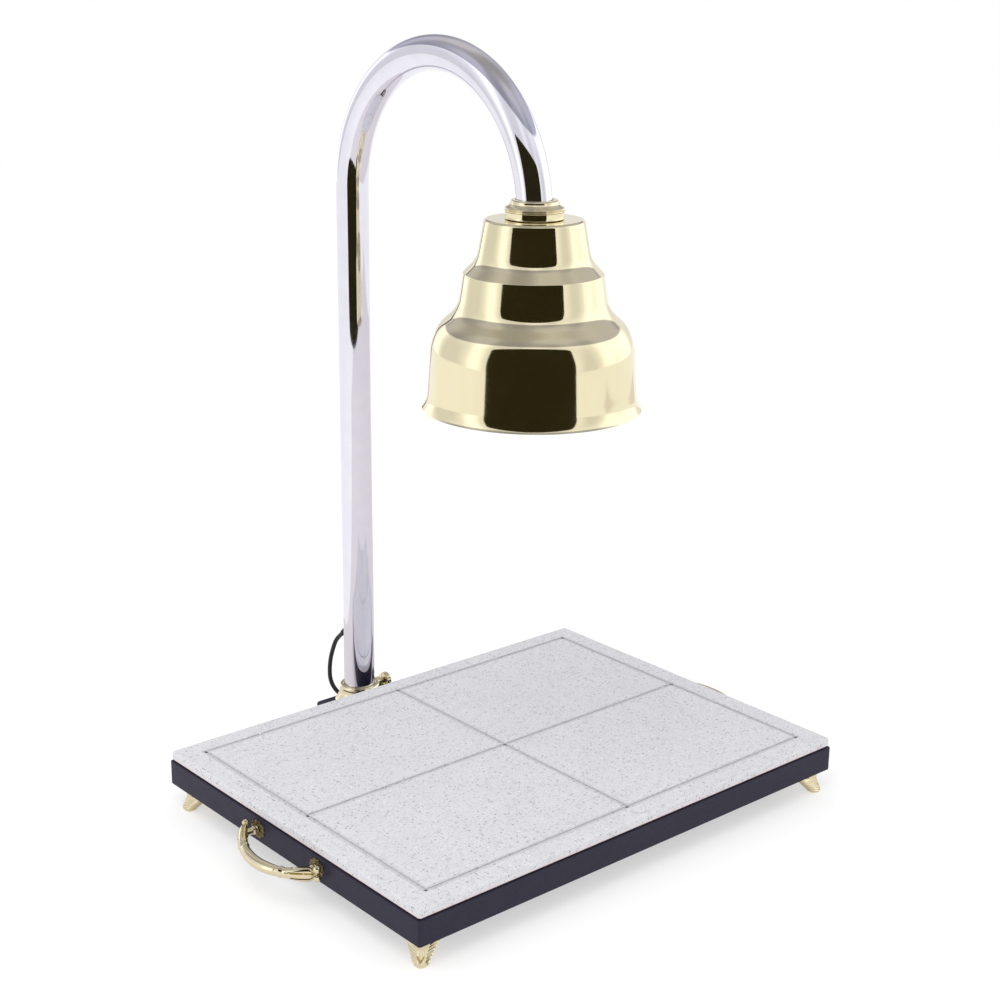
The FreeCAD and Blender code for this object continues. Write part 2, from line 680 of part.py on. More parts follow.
def thumbscrew():
    """Shank, neck and a lobed knob, turning about X."""
    start = TUBE_R + PAD_GAP + PAD_DISC_T + 0.15
    shank = rod(THUMB_SHANK_R, THUMB_KNOB_X - start + 1, (start, POST_Y, THUMB_Z), (1, 0, 0))
    neck = cone(THUMB_NECK_R, THUMB_NECK_R + 1.8, THUMB_NECK_L,
                (THUMB_KNOB_X - THUMB_NECK_L, POST_Y, THUMB_Z), (1, 0, 0))
    knob = rod(THUMB_KNOB_R, THUMB_KNOB_T, (THUMB_KNOB_X, POST_Y, THUMB_Z), (1, 0, 0))
    flutes = []
    for i in range(THUMB_LOBES):
        a = 2 * math.pi * (i + 0.5) / THUMB_LOBES
        reach = THUMB_KNOB_R + 0.7
        centre = (THUMB_KNOB_X - 1, POST_Y + reach * math.cos(a), THUMB_Z + reach * math.sin(a))
        flutes.append(rod(THUMB_FLUTE_R, THUMB_KNOB_T + 2, centre, (1, 0, 0)))
    return fuse([shank, neck, cut(knob, flutes)])


def pressure_pad():
    """Soft tip that the thumbscrew pushes against the post."""
    return rod(PAD_DISC_R, PAD_DISC_T, (TUBE_R + PAD_GAP, POST_Y, THUMB_Z), (1, 0, 0))


# ---- post tube and what is in it ----------------------------------------------------
def hook_pipe(radius, bottom, end):
    """Round bar along the post's line: up, round the hook, and down to the lamp."""
    edges = []
    base = V(0, POST_Y, bottom)
    rise = V(0, POST_Y, HOOK_Z)
    crown = V(0, POST_Y - HOOK_R, HOOK_Z + HOOK_R)
    fall = V(0, LAMP_Y, HOOK_Z)
    edges.append(Part.LineSegment(base, rise).toShape())
    edges.append(Part.Arc(rise, crown, fall).toShape())
    if end < HOOK_Z - 1e-6:
        edges.append(Part.LineSegment(fall, V(0, LAMP_Y, end)).toShape())
    ring = Part.Wire(Part.makeCircle(radius, base, V(0, 0, 1)))
    return Part.Wire(edges).makePipeShell([ring], True, False)


def relief_axis():
    tilt = math.radians(RELIEF_TILT)
    return (0.0, math.cos(tilt), -math.sin(tilt))


def exit_point(along):
    """Point on the cord exit's axis, measured outwards from the tube's rear wall."""
    a = relief_axis()
    return (0.0, POST_Y + TUBE_R + along * a[1], EXIT_Z + along * a[2])


def post_tube():
    end = HOOK_Z - 0.2
    outer = hook_pipe(TUBE_R, TUBE_BOTTOM, end)
    inner = hook_pipe(TUBE_R - TUBE_WALL, TUBE_BOTTOM, end)
    tube = outer.cut(inner)
    hole = rod(RELIEF_HOLE_R, 14.0, exit_point(-8.0), relief_axis())
    trim = block(-40, 40, LAMP_Y - 40, LAMP_Y + 40, end - 5, TUBE_END_Z)
    return cut(tube, [hole, trim])


def cord_relief():
    """Rubber bush in the tube's wall with a tapered tail round the cord."""
    a = relief_axis()
    bore = CORD_R + 0.05
    tail = cone(5.2, 3.7, RELIEF_LEN + 2.0, exit_point(-2.0), a)
    rim = cone(6.8, 5.6, 5.0, exit_point(-1.5), a)
    outside = tail.fuse(rim).cut(rod(TUBE_R + 0.02, 80, (0, POST_Y, EXIT_Z - 40)))
    plug = rod(RELIEF_HOLE_R - 0.1, 9.0, exit_point(-7.0), a)
    body = fuse([plug, outside])
    return body.cut(rod(bore, RELIEF_LEN + 20, exit_point(-10.0), a))


def cord_in_relief():
    """End of the cord inside its bush, held by the post."""
    return rod(CORD_R, RELIEF_LEN + 7.0, exit_point(-7.0), relief_axis())


def inner_flex():
    """Flexible lead inside the tube from the cord exit to the lampholder."""
    return hook_pipe(CORD_R, EXIT_Z + 14.0, HOLDER_TOP + 12.0)


def end_insert():
    """Plug pressed into the tube's end, with the hollow threaded stud for the lamp."""
    shank_top = TUBE_END_Z + 4.0
    outline = [(5.0, STUD_BOTTOM), (STUD_R, STUD_BOTTOM), (STUD_R, SHADE_TOP_Z), (18.6, SHADE_TOP_Z),
               (18.6, TUBE_END_Z - 0.1), (16.6, TUBE_END_Z - 0.1), (16.6, shank_top), (5.0, shank_top)]
    return spin(outline, 0.0, LAMP_Y)


def tube_room():
    """Space of the tube's end with a fitting gap, cut out of the rings round it."""
    return hook_pipe(TUBE_R + 0.1, HOOK_Z - 1.0, HOOK_Z - 0.2)


def neck_nut():
    """Wide turned ring that bears on the shade's flat top."""
    z = NUT_Z
    bore = TUBE_R - 2.0
    outline = [(bore, z), (NUT_R - 0.6, z), (NUT_R, z + 0.8), (NUT_R, z + NUT_H - 1.6),
               (NUT_R - 1.2, z + NUT_H - 0.3), (NUT_R - 3.0, z + NUT_H), (bore, z + NUT_H)]
    room = rod(19.0, TUBE_END_Z - z + 0.5, (0, LAMP_Y, z - 0.5))
    return cut(spin(outline, 0.0, LAMP_Y), [tube_room(), room])


def neck_collar():
    """Domed ring over the nut that hides the joint with the tube."""
    z = COLLAR_Z
    bore = TUBE_R - 2.0
    outline = [(bore, z), (31.0, z), (31.6, z + 0.9), (31.0, z + 1.9), (28.4, z + 3.2), (26.2, z + 5.0),
               (25.4, z + 6.4), (25.2, z + 8.2), (24.2, z + 9.3), (22.6, z + COLLAR_H), (bore, z + COLLAR_H)]
    return spin(outline, 0.0, LAMP_Y).cut(tube_room())


# ---- shade --------------------------------------------------------------------------
def offset_outline(outline, t):
    """Outline moved inwards by t: each straight part keeps its slope."""
    pts = [V(r, z, 0) for r, z, _ in outline]
    moved = []
    for a, b in zip(pts[:-1], pts[1:]):
        d = (b - a).normalize()
        inward = V(d.y, -d.x, 0)
        moved.append((a + inward * t, d))
    out = [moved[0][0]]
    for (p, d), (q, e) in zip(moved[:-1], moved[1:]):
        cross = d.x * e.y - d.y * e.x
        s = ((q.x - p.x) * e.y - (q.y - p.y) * e.x) / cross
        out.append(p + d * s)
    last, d = moved[-1]
    out.append(last + d * (pts[-1] - pts[-2]).Length)
    return out


def outline_edges(points, outline, t):
    """Edges of the shade's section; inner corners change their rounding by the wall."""
    to_3d = [V(p.x, LAMP_Y, SHADE_LIP_Z + p.y) for p in points]
    radii = [0.0] * len(points)
    for i in range(1, len(points) - 1):
        before = points[i] - points[i - 1]
        after = points[i + 1] - points[i]
        turns_down = before.x * after.y - before.y * after.x < 0
        radii[i] = max(outline[i][2] + (-t if turns_down else t), 0.8)
    return rounded_edges(to_3d, radii), to_3d


def shade():
    outer_points = [V(r, z, 0) for r, z, _ in SHADE_OUTLINE]
    outer, a = outline_edges(outer_points, SHADE_OUTLINE, 0.0)
    inner, b = outline_edges(offset_outline(SHADE_OUTLINE, SHADE_WALL), SHADE_OUTLINE, SHADE_WALL)
    lip = Part.LineSegment(a[-1], b[-1]).toShape()
    hole = Part.LineSegment(b[0], a[0]).toShape()
    wire = Part.Wire(outer + [lip] + inner[::-1] + [hole])
    return Part.Face(wire).revolve(V(0, LAMP_Y, 0), V(0, 0, 1), 360)


def shade_washer():
    z = SHADE_TOP_Z - SHADE_WALL
    ring = rod(WASHER_R, WASHER_T, (0, LAMP_Y, z - WASHER_T))
    return ring.cut(rod(STUD_R + 0.1, WASHER_T + 2, (0, LAMP_Y, z - WASHER_T - 1)))


def lock_nut():
    z = SHADE_TOP_Z - SHADE_WALL - WASHER_T - LOCK_NUT_H
    thread = rod(STUD_R + 0.05, LOCK_NUT_H + 2, (0, LAMP_Y, z - 1))
    return hexagon(LOCK_NUT_R, LOCK_NUT_H, 0.0, LAMP_Y, z).cut(thread)


# ---- lampholder and lamp ------------------------------------------------------------
def lampholder_body():
    """Glazed ceramic cup on the stud, open at the bottom for the lamp's cap."""
    outline = [(STUD_R + 0.1, HOLDER_TOP - 0.2), (17.0, HOLDER_TOP - 0.2), (19.5, HOLDER_TOP - 3.0),
               (HOLDER_R - 1.0, HOLDER_TOP - 16.0), (HOLDER_R, HOLDER_TOP - 17.5),
               (HOLDER_R, HOLDER_MOUTH + 1.5),
               (HOLDER_R - 1.5, HOLDER_MOUTH), (HOLDER_CAVITY_R, HOLDER_MOUTH),
               (HOLDER_CAVITY_R, HOLDER_FLOOR - 1.0), (STUD_R + 0.1, HOLDER_FLOOR - 1.0)]
    return spin(outline, 0.0, LAMP_Y)


def holder_disc():
    """Ceramic disc that carries the contacts over the lamp's cap."""
    return rod(HOLDER_CAVITY_R - 0.1, 3.0, (0, LAMP_Y, HOLDER_FLOOR - 4.0))


def screw_shell():
    z0 = HOLDER_MOUTH + 3.0
    z1 = HOLDER_FLOOR - 4.1
    outline = [(SHELL_R, z0), (SHELL_R + 1.3, z0), (SHELL_R + 1.3, z1), (SHELL_R, z1)]
    return spin(outline, 0.0, LAMP_Y)


def centre_contact():
    z = HOLDER_FLOOR - 4.0
    leaf = block(-3.0, 3.0, LAMP_Y - 8.0, LAMP_Y + 4.0, z - 0.8, z)
    return leaf


def bulb_outline():
    """Outer profile of the reflector lamp's glass, radius and height."""
    neck = CAP_TOP - CAP_H + 3.0
    face = BULB_FACE_Z
    return [(NECK_R, neck), (12.7, neck - 8.0), (17.0, neck - 20.0), (24.5, neck - 36.0), (35.5, neck - 54.0),
            (47.5, neck - 73.0), (57.5, face + 47.0), (62.4, face + 33.0), (BULB_R, face + 25.0),
            (62.6, face + 18.0), (58.5, face + 11.5), (46.0, face + 5.6), (30.0, face + 2.2),
            (14.0, face + 0.5), (0.0, face)]


def bulb_glass():
    """Closed glass envelope: the wall is set inwards on the sides and upwards on the face."""
    outside = [V(r, LAMP_Y, z) for r, z in bulb_outline()]
    widest = max(range(len(outside)), key=lambda i: outside[i].x)
    inside = [p - V(GLASS_WALL, 0, 0) for p in outside[:widest + 1]]
    inside += [p + V(-GLASS_WALL, 0, GLASS_WALL) for p in outside[widest + 1:-1]]
    inside.append(outside[-1] + V(0, 0, GLASS_WALL))
    outer = Part.BSplineCurve()
    outer.interpolate(outside)
    inner = Part.BSplineCurve()
    inner.interpolate(inside[::-1])
    edges = [outer.toShape(),
             Part.LineSegment(outside[-1], inside[-1]).toShape(),
             inner.toShape(),
             Part.LineSegment(inside[0], outside[0]).toShape()]
    return Part.Face(Part.Wire(edges)).revolve(V(0, LAMP_Y, 0), V(0, 0, 1), 360)


def bulb_cap():
    """Brass screw cap, a cup that the glass neck stands in."""
    low = CAP_TOP - CAP_H
    bore = CAP_R - 0.4
    outline = [(bore, low), (CAP_R, low), (CAP_R, CAP_TOP - 5.0), (9.0, CAP_TOP - 1.0), (5.6, CAP_TOP - 1.0),
               (5.6, CAP_TOP - 2.0), (8.5, CAP_TOP - 2.0), (bore, CAP_TOP - 5.6)]
    return spin(outline, 0.0, LAMP_Y)


def bulb_tip():
    """Insulated end contact of the lamp."""
    z = CAP_TOP - 3.0
    outline = [(0.0, z), (5.5, z), (5.5, z + 1.8), (4.2, z + 2.9), (0.0, z + 3.3)]
    return spin(outline, 0.0, LAMP_Y)


# ---- mains cord, coil and plug ------------------------------------------------------
def mains_cord():
    return cord_tube([exit_point(RELIEF_LEN + 0.1)] + CORD_ROUTE, "mains_cord")


def coil_half_sizes():
    pitch = 2 * CORD_R
    return COIL_COLS * pitch / 2, COIL_ROWS * pitch / 2


def coil_ring(grow, angle, start):
    """Ring of the coil's outer shape, or part of it, with its section grown by a gap."""
    hw, hh = coil_half_sizes()
    hw += grow
    hh += grow
    cz = coil_half_sizes()[1] + FLOOR_GAP
    x0 = COIL_X + COIL_MEAN_R
    section = block(x0 - hw, x0 + hw, COIL_Y, COIL_Y + 1, cz - hh, cz + hh)
    along = [e for e in section.Edges if abs(e.Vertexes[0].Y - e.Vertexes[1].Y) > 1e-6]
    section = section.makeFillet(2.4, along)
    face = [f for f in section.Faces if abs(f.CenterOfMass.y - COIL_Y) < 1e-6][0]
    ring = face.revolve(V(COIL_X, COIL_Y, 0), V(0, 0, 1), angle)
    ring.rotate(V(COIL_X, COIL_Y, 0), V(0, 0, 1), start)
    return ring


def coil_tie():
    """Strap round the coil's turns, lying a hair above the floor."""
    band = coil_ring(TIE_T + TIE_GAP, TIE_ANGLE, TIE_AT).cut(coil_ring(TIE_GAP, TIE_ANGLE + 6, TIE_AT - 3))
    reach = COIL_MEAN_R * 2
    above_floor = block(COIL_X - reach, COIL_X + reach, COIL_Y - reach, COIL_Y + reach, 0.0, reach)
    return band.common(above_floor)


def plug_frame():
    d = V(*PLUG_DIR).normalize()
    start = V(*TAIL_ROUTE[-1])
    return start, d


def along_plug(box_shape):
    """Place a shape built along +X at the origin on the plug's own line."""
    start, d = plug_frame()
    box_shape.rotate(V(0, 0, 0), V(0, 0, 1), math.degrees(math.atan2(d.y, d.x)))
    box_shape.translate(start)
    return box_shape


def plug_body():
    tail = cone(CORD_R + 1.1, CORD_R + 2.8, PLUG_TAIL, (0, 0, 0), (1, 0, 0))
    x0 = PLUG_TAIL - 1.0
    grip = block(x0, x0 + PLUG_LEN, -PLUG_W / 2, PLUG_W / 2, -PLUG_H / 2, PLUG_H / 2)
    grip = grip.makeFillet(3.5, grip.Edges)
    return along_plug(fuse([tail, grip]))


def plug_pins():
    x0 = PLUG_TAIL - 1.0 + PLUG_LEN
    blades = []
    half = BLADE_T / 2
    for s in (-1, 1):
        y = s * BLADE_PITCH / 2
        blades.append(block(x0, x0 + BLADE_L, y - half, y + half, half - BLADE_W, half))
    blades.append(rod(EARTH_PIN_R, EARTH_PIN_L, (x0, 0, half - BLADE_W / 2 + EARTH_PIN_RISE), (1, 0, 0)))
    return along_plug(Part.makeCompound(blades))


def mains_cord_tail():
    return cord_tube(TAIL_ROUTE, "mains_cord_tail")


# ---- write every piece --------------------------------------------------------------
def main():
    os.makedirs("parts", exist_ok=True)
    save("stone_board", stone_board())
    for name, rail in frame_rails().items():
        save("frame_" + name + "_rail", rail)
    for name, strip in gasket_strips().items():
        save("gasket_" + name, strip)
    save("bottom_pan", bottom_pan())
    for name, x in (("left", -BAR_PITCH), ("centre", 0.0), ("right", BAR_PITCH)):
        bar, pad = cross_bar(x)
        save("cross_bar_" + name, bar)
        save("cork_pad_" + name, pad)
    for sx, sy, x, y in foot_places():
        save("foot_" + ("front" if sy < 0 else "rear") + ("_left" if sx < 0 else "_right"),
             foot(sx, sy, x, y))
    save("foot_screws", foot_screws())
    save("pan_screws", pan_screws())
    for name, side in (("left", -1), ("right", 1)):
        save(name + "_handle", handle(side))
        for end, s in (("front", -1), ("rear", 1)):
            save(name + "_handle_rosette_" + end, rosette(side, s))
    save("handle_screws", handle_screws())
    save("post_bracket", post_bracket())
    save("bracket_bolts", bracket_bolts())
    save("bracket_nuts", bracket_nuts())
    save("bracket_spacers", bracket_spacers())
    save("post_socket", post_socket())
    save("socket_screws", socket_screws())
    save("thumbscrew", thumbscrew())
    save("thumbscrew_pad", pressure_pad())
    save("post_tube", post_tube())
    save("cord_relief", cord_relief())
    save("cord_end_in_relief", cord_in_relief())
    save("inner_flex", inner_flex())
    save("end_insert", end_insert())
    save("neck_nut", neck_nut())
    save("neck_collar", neck_collar())
    save("shade", shade())
    save("shade_washer", shade_washer())
    save("lock_nut", lock_nut())
    save("lampholder_body", lampholder_body())
    save("lampholder_disc", holder_disc())
    save("lampholder_shell", screw_shell())
    save("lampholder_contact", centre_contact())
    save("bulb_glass", bulb_glass())
    save("bulb_cap", bulb_cap())
    save("bulb_tip", bulb_tip())
    save("mains_cord", mains_cord())
    save("mains_cord_coil", coil_ring(0.0, 360, 0))
    save("mains_cord_tail", mains_cord_tail())
    save("coil_tie", coil_tie())
    save("plug_body", plug_body())
    save("plug_pins", plug_pins())
    print("free cord outside the coil", round(sum(CHECK_LENGTHS), 1), "mm")


main()
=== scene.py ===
import json
import math

import bpy
from mathutils import Matrix, Vector


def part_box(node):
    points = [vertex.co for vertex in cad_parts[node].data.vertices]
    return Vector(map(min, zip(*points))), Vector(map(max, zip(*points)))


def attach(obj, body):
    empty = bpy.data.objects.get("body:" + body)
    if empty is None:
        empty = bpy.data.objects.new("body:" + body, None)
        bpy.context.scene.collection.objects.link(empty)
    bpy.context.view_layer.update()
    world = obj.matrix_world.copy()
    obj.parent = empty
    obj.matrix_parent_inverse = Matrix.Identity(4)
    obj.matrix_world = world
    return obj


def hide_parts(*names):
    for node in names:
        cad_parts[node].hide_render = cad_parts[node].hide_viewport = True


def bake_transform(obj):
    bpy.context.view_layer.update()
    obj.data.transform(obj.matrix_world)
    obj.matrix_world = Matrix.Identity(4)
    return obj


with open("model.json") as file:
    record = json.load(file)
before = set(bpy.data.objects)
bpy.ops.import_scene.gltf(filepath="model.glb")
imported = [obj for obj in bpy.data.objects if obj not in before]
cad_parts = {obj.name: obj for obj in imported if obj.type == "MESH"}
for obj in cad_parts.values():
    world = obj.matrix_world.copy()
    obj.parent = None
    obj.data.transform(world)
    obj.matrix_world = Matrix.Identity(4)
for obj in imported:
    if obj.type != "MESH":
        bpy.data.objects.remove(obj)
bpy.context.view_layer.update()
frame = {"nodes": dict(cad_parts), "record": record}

# Heat lamp warmer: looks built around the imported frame. Metres, same frame as the CAD:
# X along the board, post on the +Y side, Z = 0 under the feet.

# ---- places read from the frame ------------------------------------------------------
STONE_LOW, STONE_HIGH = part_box("stone_board")
TUBE_LOW, TUBE_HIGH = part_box("post_tube")
SHADE_LOW, SHADE_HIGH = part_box("shade")
FRAME_LOW, FRAME_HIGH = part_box("frame_left_rail")

FRAME_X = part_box("frame_right_rail")[1].x     # outer face of the frame's ends
BOARD_Y = (STONE_LOW.y + STONE_HIGH.y) / 2
FRAME_Y = (FRAME_HIGH.y - FRAME_LOW.y) / 2    # half depth of the frame
FRAME_BOTTOM = FRAME_LOW.z
TUBE_R = TUBE_HIGH.x
POST_Y = TUBE_HIGH.y - TUBE_R
LAMP_Y = (SHADE_LOW.y + SHADE_HIGH.y) / 2
HOOK_R = (POST_Y - LAMP_Y) / 2
HOOK_Z = TUBE_HIGH.z - HOOK_R - TUBE_R
SHADE_LIP = SHADE_LOW.z
THUMB_LOW, THUMB_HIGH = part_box("thumbscrew")
THUMB_Z = (THUMB_LOW.z + THUMB_HIGH.z) / 2
MM = 0.001


# ---- camera ---------------------------------------------------------------------------
CAMERA_PLACE = (-1.2226, -1.4381, 0.9376)
CAMERA_LENS = 63.75           # focal length in millimetres on a sensor 36 mm wide


def make_camera():
    azimuth = math.radians(-40.89)
    elevation = math.radians(17.29)
    roll = math.radians(0.6)
    back = Vector((math.sin(azimuth) * math.cos(elevation),
                   -math.cos(azimuth) * math.cos(elevation), math.sin(elevation)))
    level = Vector((math.cos(azimuth), math.sin(azimuth), 0.0))
    upright = back.cross(level)
    right = level * math.cos(roll) + upright * math.sin(roll)
    up = upright * math.cos(roll) - level * math.sin(roll)
    data = bpy.data.cameras.new("camera")
    data.sensor_width = 36.0
    data.lens = CAMERA_LENS
    data.clip_end = 50.0
    camera = bpy.data.objects.new("camera", data)
    bpy.context.scene.collection.objects.link(camera)
    turn = Matrix((right, up, back)).transposed().to_4x4()
    camera.matrix_world = Matrix.Translation(CAMERA_PLACE) @ turn
    bpy.context.scene.camera = camera


make_camera()


# ---- mesh helpers ---------------------------------------------------------------------
def piece(name, verts, faces, body, slot, sharp=35):
    mesh = bpy.data.meshes.new(name)
    mesh.from_pydata([tuple(v) for v in verts], [], faces)
    mesh.validate()
    mesh.shade_smooth()
    mesh.set_sharp_from_angle(angle=math.radians(sharp))
    obj = bpy.data.objects.new(name, mesh)
    bpy.context.scene.collection.objects.link(obj)
    mesh.materials.append(MATERIALS[slot])
    if body:
        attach(obj, body)
    return obj


def grid_faces(rows, cols, closed_rows=False):
    """Quads between rows of points that each close on themselves."""
    faces = []
    for i in range(rows if closed_rows else rows - 1):
        j = (i + 1) % rows
        for k in range(cols):
            m = (k + 1) % cols
            faces.append((i * cols + k, i * cols + m, j * cols + m, j * cols + k))
    return faces


def capped_faces(rows, cols):
    """The quads between rows of points, with one flat face over each end."""
    faces = grid_faces(rows, cols)
    faces.append(tuple(range(cols))[::-1])
    faces.append(tuple(range((rows - 1) * cols, rows * cols)))
    return faces


def turned_over(faces):
    return [face[::-1] for face in faces]


def lathe(profile, centre, segments, axis="Z"):
    """Turned solid: profile is a closed loop of radius, height; centre is a point on the axis."""
    verts = []
    for r, h in profile:
        for k in range(segments):
            a = 2 * math.pi * k / segments
            u = r * math.cos(a)
            w = r * math.sin(a)
            if axis == "Z":
                verts.append((centre[0] + u, centre[1] + w, h))
            else:
                verts.append((h, centre[1] + u, centre[2] + w))
    return verts, grid_faces(len(profile), segments, closed_rows=True)


def rounded(corners, step=6.0):
    """Profile through corners of radius, height and rounding; a rounding makes a true arc."""
    out = []
    last = len(corners) - 1
    for i, (r, z, rounding) in enumerate(corners):
        if rounding <= 0.0 or i in (0, last):
            out.append((r, z))
            continue
        b = Vector((r, z))
        u = (Vector(corners[i - 1][:2]) - b).normalized()
        w = (Vector(corners[i + 1][:2]) - b).normalized()
        half = u.angle(w) / 2
        centre = b + (u + w).normalized() * rounding / math.sin(half)
        start = b + u * rounding / math.tan(half)
        end = b + w * rounding / math.tan(half)
        count = max(3, round(math.degrees(math.pi - 2 * half) / step) + 1)
        a0 = math.atan2(start.y - centre.y, start.x - centre.x)
        turn = math.atan2(end.y - centre.y, end.x - centre.x) - a0
        turn = (turn + math.pi) % (2 * math.pi) - math.pi
        for k in range(count + 1):
            a = a0 + turn * k / count
            out.append((centre.x + rounding * math.cos(a), centre.y + rounding * math.sin(a)))
    return out


def frames_along(points):
    """Tangent and two cross directions at each point, carried along without twist."""
    points = [Vector(p) for p in points]
    out = []
    side = None
    for i, p in enumerate(points):
        ahead = points[min(i + 1, len(points) - 1)]
        behind = points[max(i - 1, 0)]
        t = (ahead - behind).normalized()
        if side is None:
            side = t.orthogonal() if abs(t.z) > 0.9 else Vector((0, 0, 1)).cross(t)
            side.normalize()
        side = (side - t * side.dot(t)).normalized()
        out.append((p, t, side, t.cross(side)))
    return out


def sweep(points, radius, sides=24, first_side=None):
    """Closed tube along points; radius is a number or a function of index and angle."""
    verts = []
    frames = frames_along(points)
    for i, (p, t, u, w) in enumerate(frames):
        if first_side is not None:
            u = (first_side - t * first_side.dot(t)).normalized()
            w = t.cross(u)
        for k in range(sides):
            a = 2 * math.pi * k / sides
            r = radius(i, a) if callable(radius) else radius
            verts.append(p + (u * math.cos(a) + w * math.sin(a)) * r)
    return verts, capped_faces(len(points), sides)


def smooth_step(x, low, high):
    t = min(max((x - low) / (high - low), 0.0), 1.0)
    return t * t * (3 - 2 * t)


def bell(x, middle, width):
    """One at the middle, falling smoothly to zero a few widths either side."""
    return math.exp(-((x - middle) / width) ** 2)


def merge(*parts):
    """Several pairs of points and faces as one."""
    verts = []
    faces = []
    for v, f in parts:
        base = len(verts)
        verts += list(v)
        faces += [tuple(i + base for i in face) for face in f]
    return verts, faces


# ---- materials ------------------------------------------------------------------------
def new_material(name):
    mat = bpy.data.materials.new(name)
    mat.use_nodes = True
    nodes = mat.node_tree.nodes
    links = mat.node_tree.links
    shader = nodes["Principled BSDF"]
    place = nodes.new("ShaderNodeTexCoord").outputs["Object"]
    return mat, nodes, links, shader, place


def noise(nodes, links, place, scale, detail=3.0, roughness=0.5, stretch=None):
    if stretch is not None:
        mapping = nodes.new("ShaderNodeMapping")
        mapping.inputs["Scale"].default_value = stretch
        links.new(place, mapping.inputs["Vector"])
        place = mapping.outputs["Vector"]
    tex = nodes.new("ShaderNodeTexNoise")
    tex.inputs["Scale"].default_value = scale
    tex.inputs["Detail"].default_value = detail
    tex.inputs["Roughness"].default_value = roughness
    links.new(place, tex.inputs["Vector"])
    return tex.outputs["Fac"]


def ramp(nodes, links, value, stops):
    node = nodes.new("ShaderNodeValToRGB")
    while len(node.color_ramp.elements) < len(stops):
        node.color_ramp.elements.new(0.5)
    for element, (at, colour) in zip(node.color_ramp.elements, stops):
        element.position = at
        element.color = (*colour, 1.0)
    links.new(value, node.inputs["Fac"])
    return node.outputs["Color"]


def spread(nodes, links, value, low, high, from_low=0.3, from_high=0.7):
    node = nodes.new("ShaderNodeMapRange")
    node.inputs["From Min"].default_value = from_low
    node.inputs["From Max"].default_value = from_high
    node.inputs["To Min"].default_value = low
    node.inputs["To Max"].default_value = high
    links.new(value, node.inputs["Value"])
    return node.outputs["Result"]


def bump(nodes, links, height, shader, distance, strength=0.5):
    node = nodes.new("ShaderNodeBump")
    node.inputs["Strength"].default_value = strength
    node.inputs["Distance"].default_value = distance
    links.new(height, node.inputs["Height"])
    links.new(node.outputs["Normal"], shader.inputs["Normal"])


def mix(nodes, links, factor, a, b, blend="MIX"):
    """Colour a with b laid over it by the factor; each is a socket or a plain value."""
    node = nodes.new("ShaderNodeMix")
    node.data_type = "RGBA"
    node.blend_type = blend
    if isinstance(factor, float):
        node.inputs["Factor"].default_value = factor
    else:
        links.new(factor, node.inputs["Factor"])
    for socket, value in ((node.inputs["A"], a), (node.inputs["B"], b)):
        if isinstance(value, tuple):
            socket.default_value = (*value, 1.0)
        else:
            links.new(value, socket)
    return node.outputs["Result"]


def calculate(nodes, links, operation, *values):
    """Result of a math node; each value is a socket or a plain number."""
    node = nodes.new("ShaderNodeMath")
    node.operation = operation
    for socket, value in zip(node.inputs, values):
        if isinstance(value, float):
            socket.default_value = value
        else:
            links.new(value, socket)
    return node.outputs["Value"]


def times(nodes, links, a, b):
    return calculate(nodes, links, "MULTIPLY", a, b)


def near(nodes, links, value, middle, reach):
    """One where the value is within a reach of the middle, else zero."""
    return calculate(nodes, links, "COMPARE", value, middle, reach)


def metal(name, pale, deep, rough_low, rough_high, grain=90.0, stretch=None, dent=0.0):
    mat, nodes, links, shader, place = new_material(name)
    shader.inputs["Metallic"].default_value = 1.0
    cloud = noise(nodes, links, place, grain, 4.0, 0.6, stretch)
    links.new(ramp(nodes, links, cloud, [(0.35, deep), (0.65, pale)]), shader.inputs["Base Color"])
    smear = noise(nodes, links, place, grain * 0.4, 5.0, 0.65)
    links.new(spread(nodes, links, smear, rough_low, rough_high), shader.inputs["Roughness"])
    if dent:
        bump(nodes, links, cloud, shader, dent, 0.3)
    return mat


def plastic(name, light, dark, rough_low, rough_high, grain, dent, coat=0.0, gloss=0.5):
    mat, nodes, links, shader, place = new_material(name)
    cloud = noise(nodes, links, place, grain, 4.0)
    links.new(ramp(nodes, links, cloud, [(0.3, dark), (0.7, light)]), shader.inputs["Base Color"])
    smear = noise(nodes, links, place, grain * 0.15, 4.0, 0.6)
    links.new(spread(nodes, links, smear, rough_low, rough_high), shader.inputs["Roughness"])
    shader.inputs["Coat Weight"].default_value = coat
    shader.inputs["Specular IOR Level"].default_value = gloss
    bump(nodes, links, cloud, shader, dent, 0.4)
    return mat


def specks(nodes, links, place, scale, size, share):
    """Mask of scattered grains: size is a share of a cell and share is how many cells hold one."""
    cells = nodes.new("ShaderNodeTexVoronoi")
    cells.inputs["Scale"].default_value = scale
    links.new(place, cells.inputs["Vector"])
    grain = spread(nodes, links, cells.outputs["Distance"], 1.0, 0.0, size * 0.55, size)
    picked = nodes.new("ShaderNodeSeparateColor")
    links.new(cells.outputs["Color"], picked.inputs["Color"])
    chosen = calculate(nodes, links, "LESS_THAN", picked.outputs["Red"], share)
    return times(nodes, links, grain, chosen)


LINE_X = 0.2746               # cut lines in the stone, half sizes of their rectangle
LINE_Y = 0.2006
SHADE_BAND_HALF = 0.0042            # half width of the band of painted shade along each cut line
INSIDE_X = 0.298              # half sizes of the part of the board that holds every cut
INSIDE_Y = 0.222
LINE_FLOOR = (0.0650, 0.0005)     # heights in the stone: the middle of each span and half of it
DIMPLE_WALL = (0.0630, 0.0014)
LOWER_RIM = (0.0566, 0.0007)


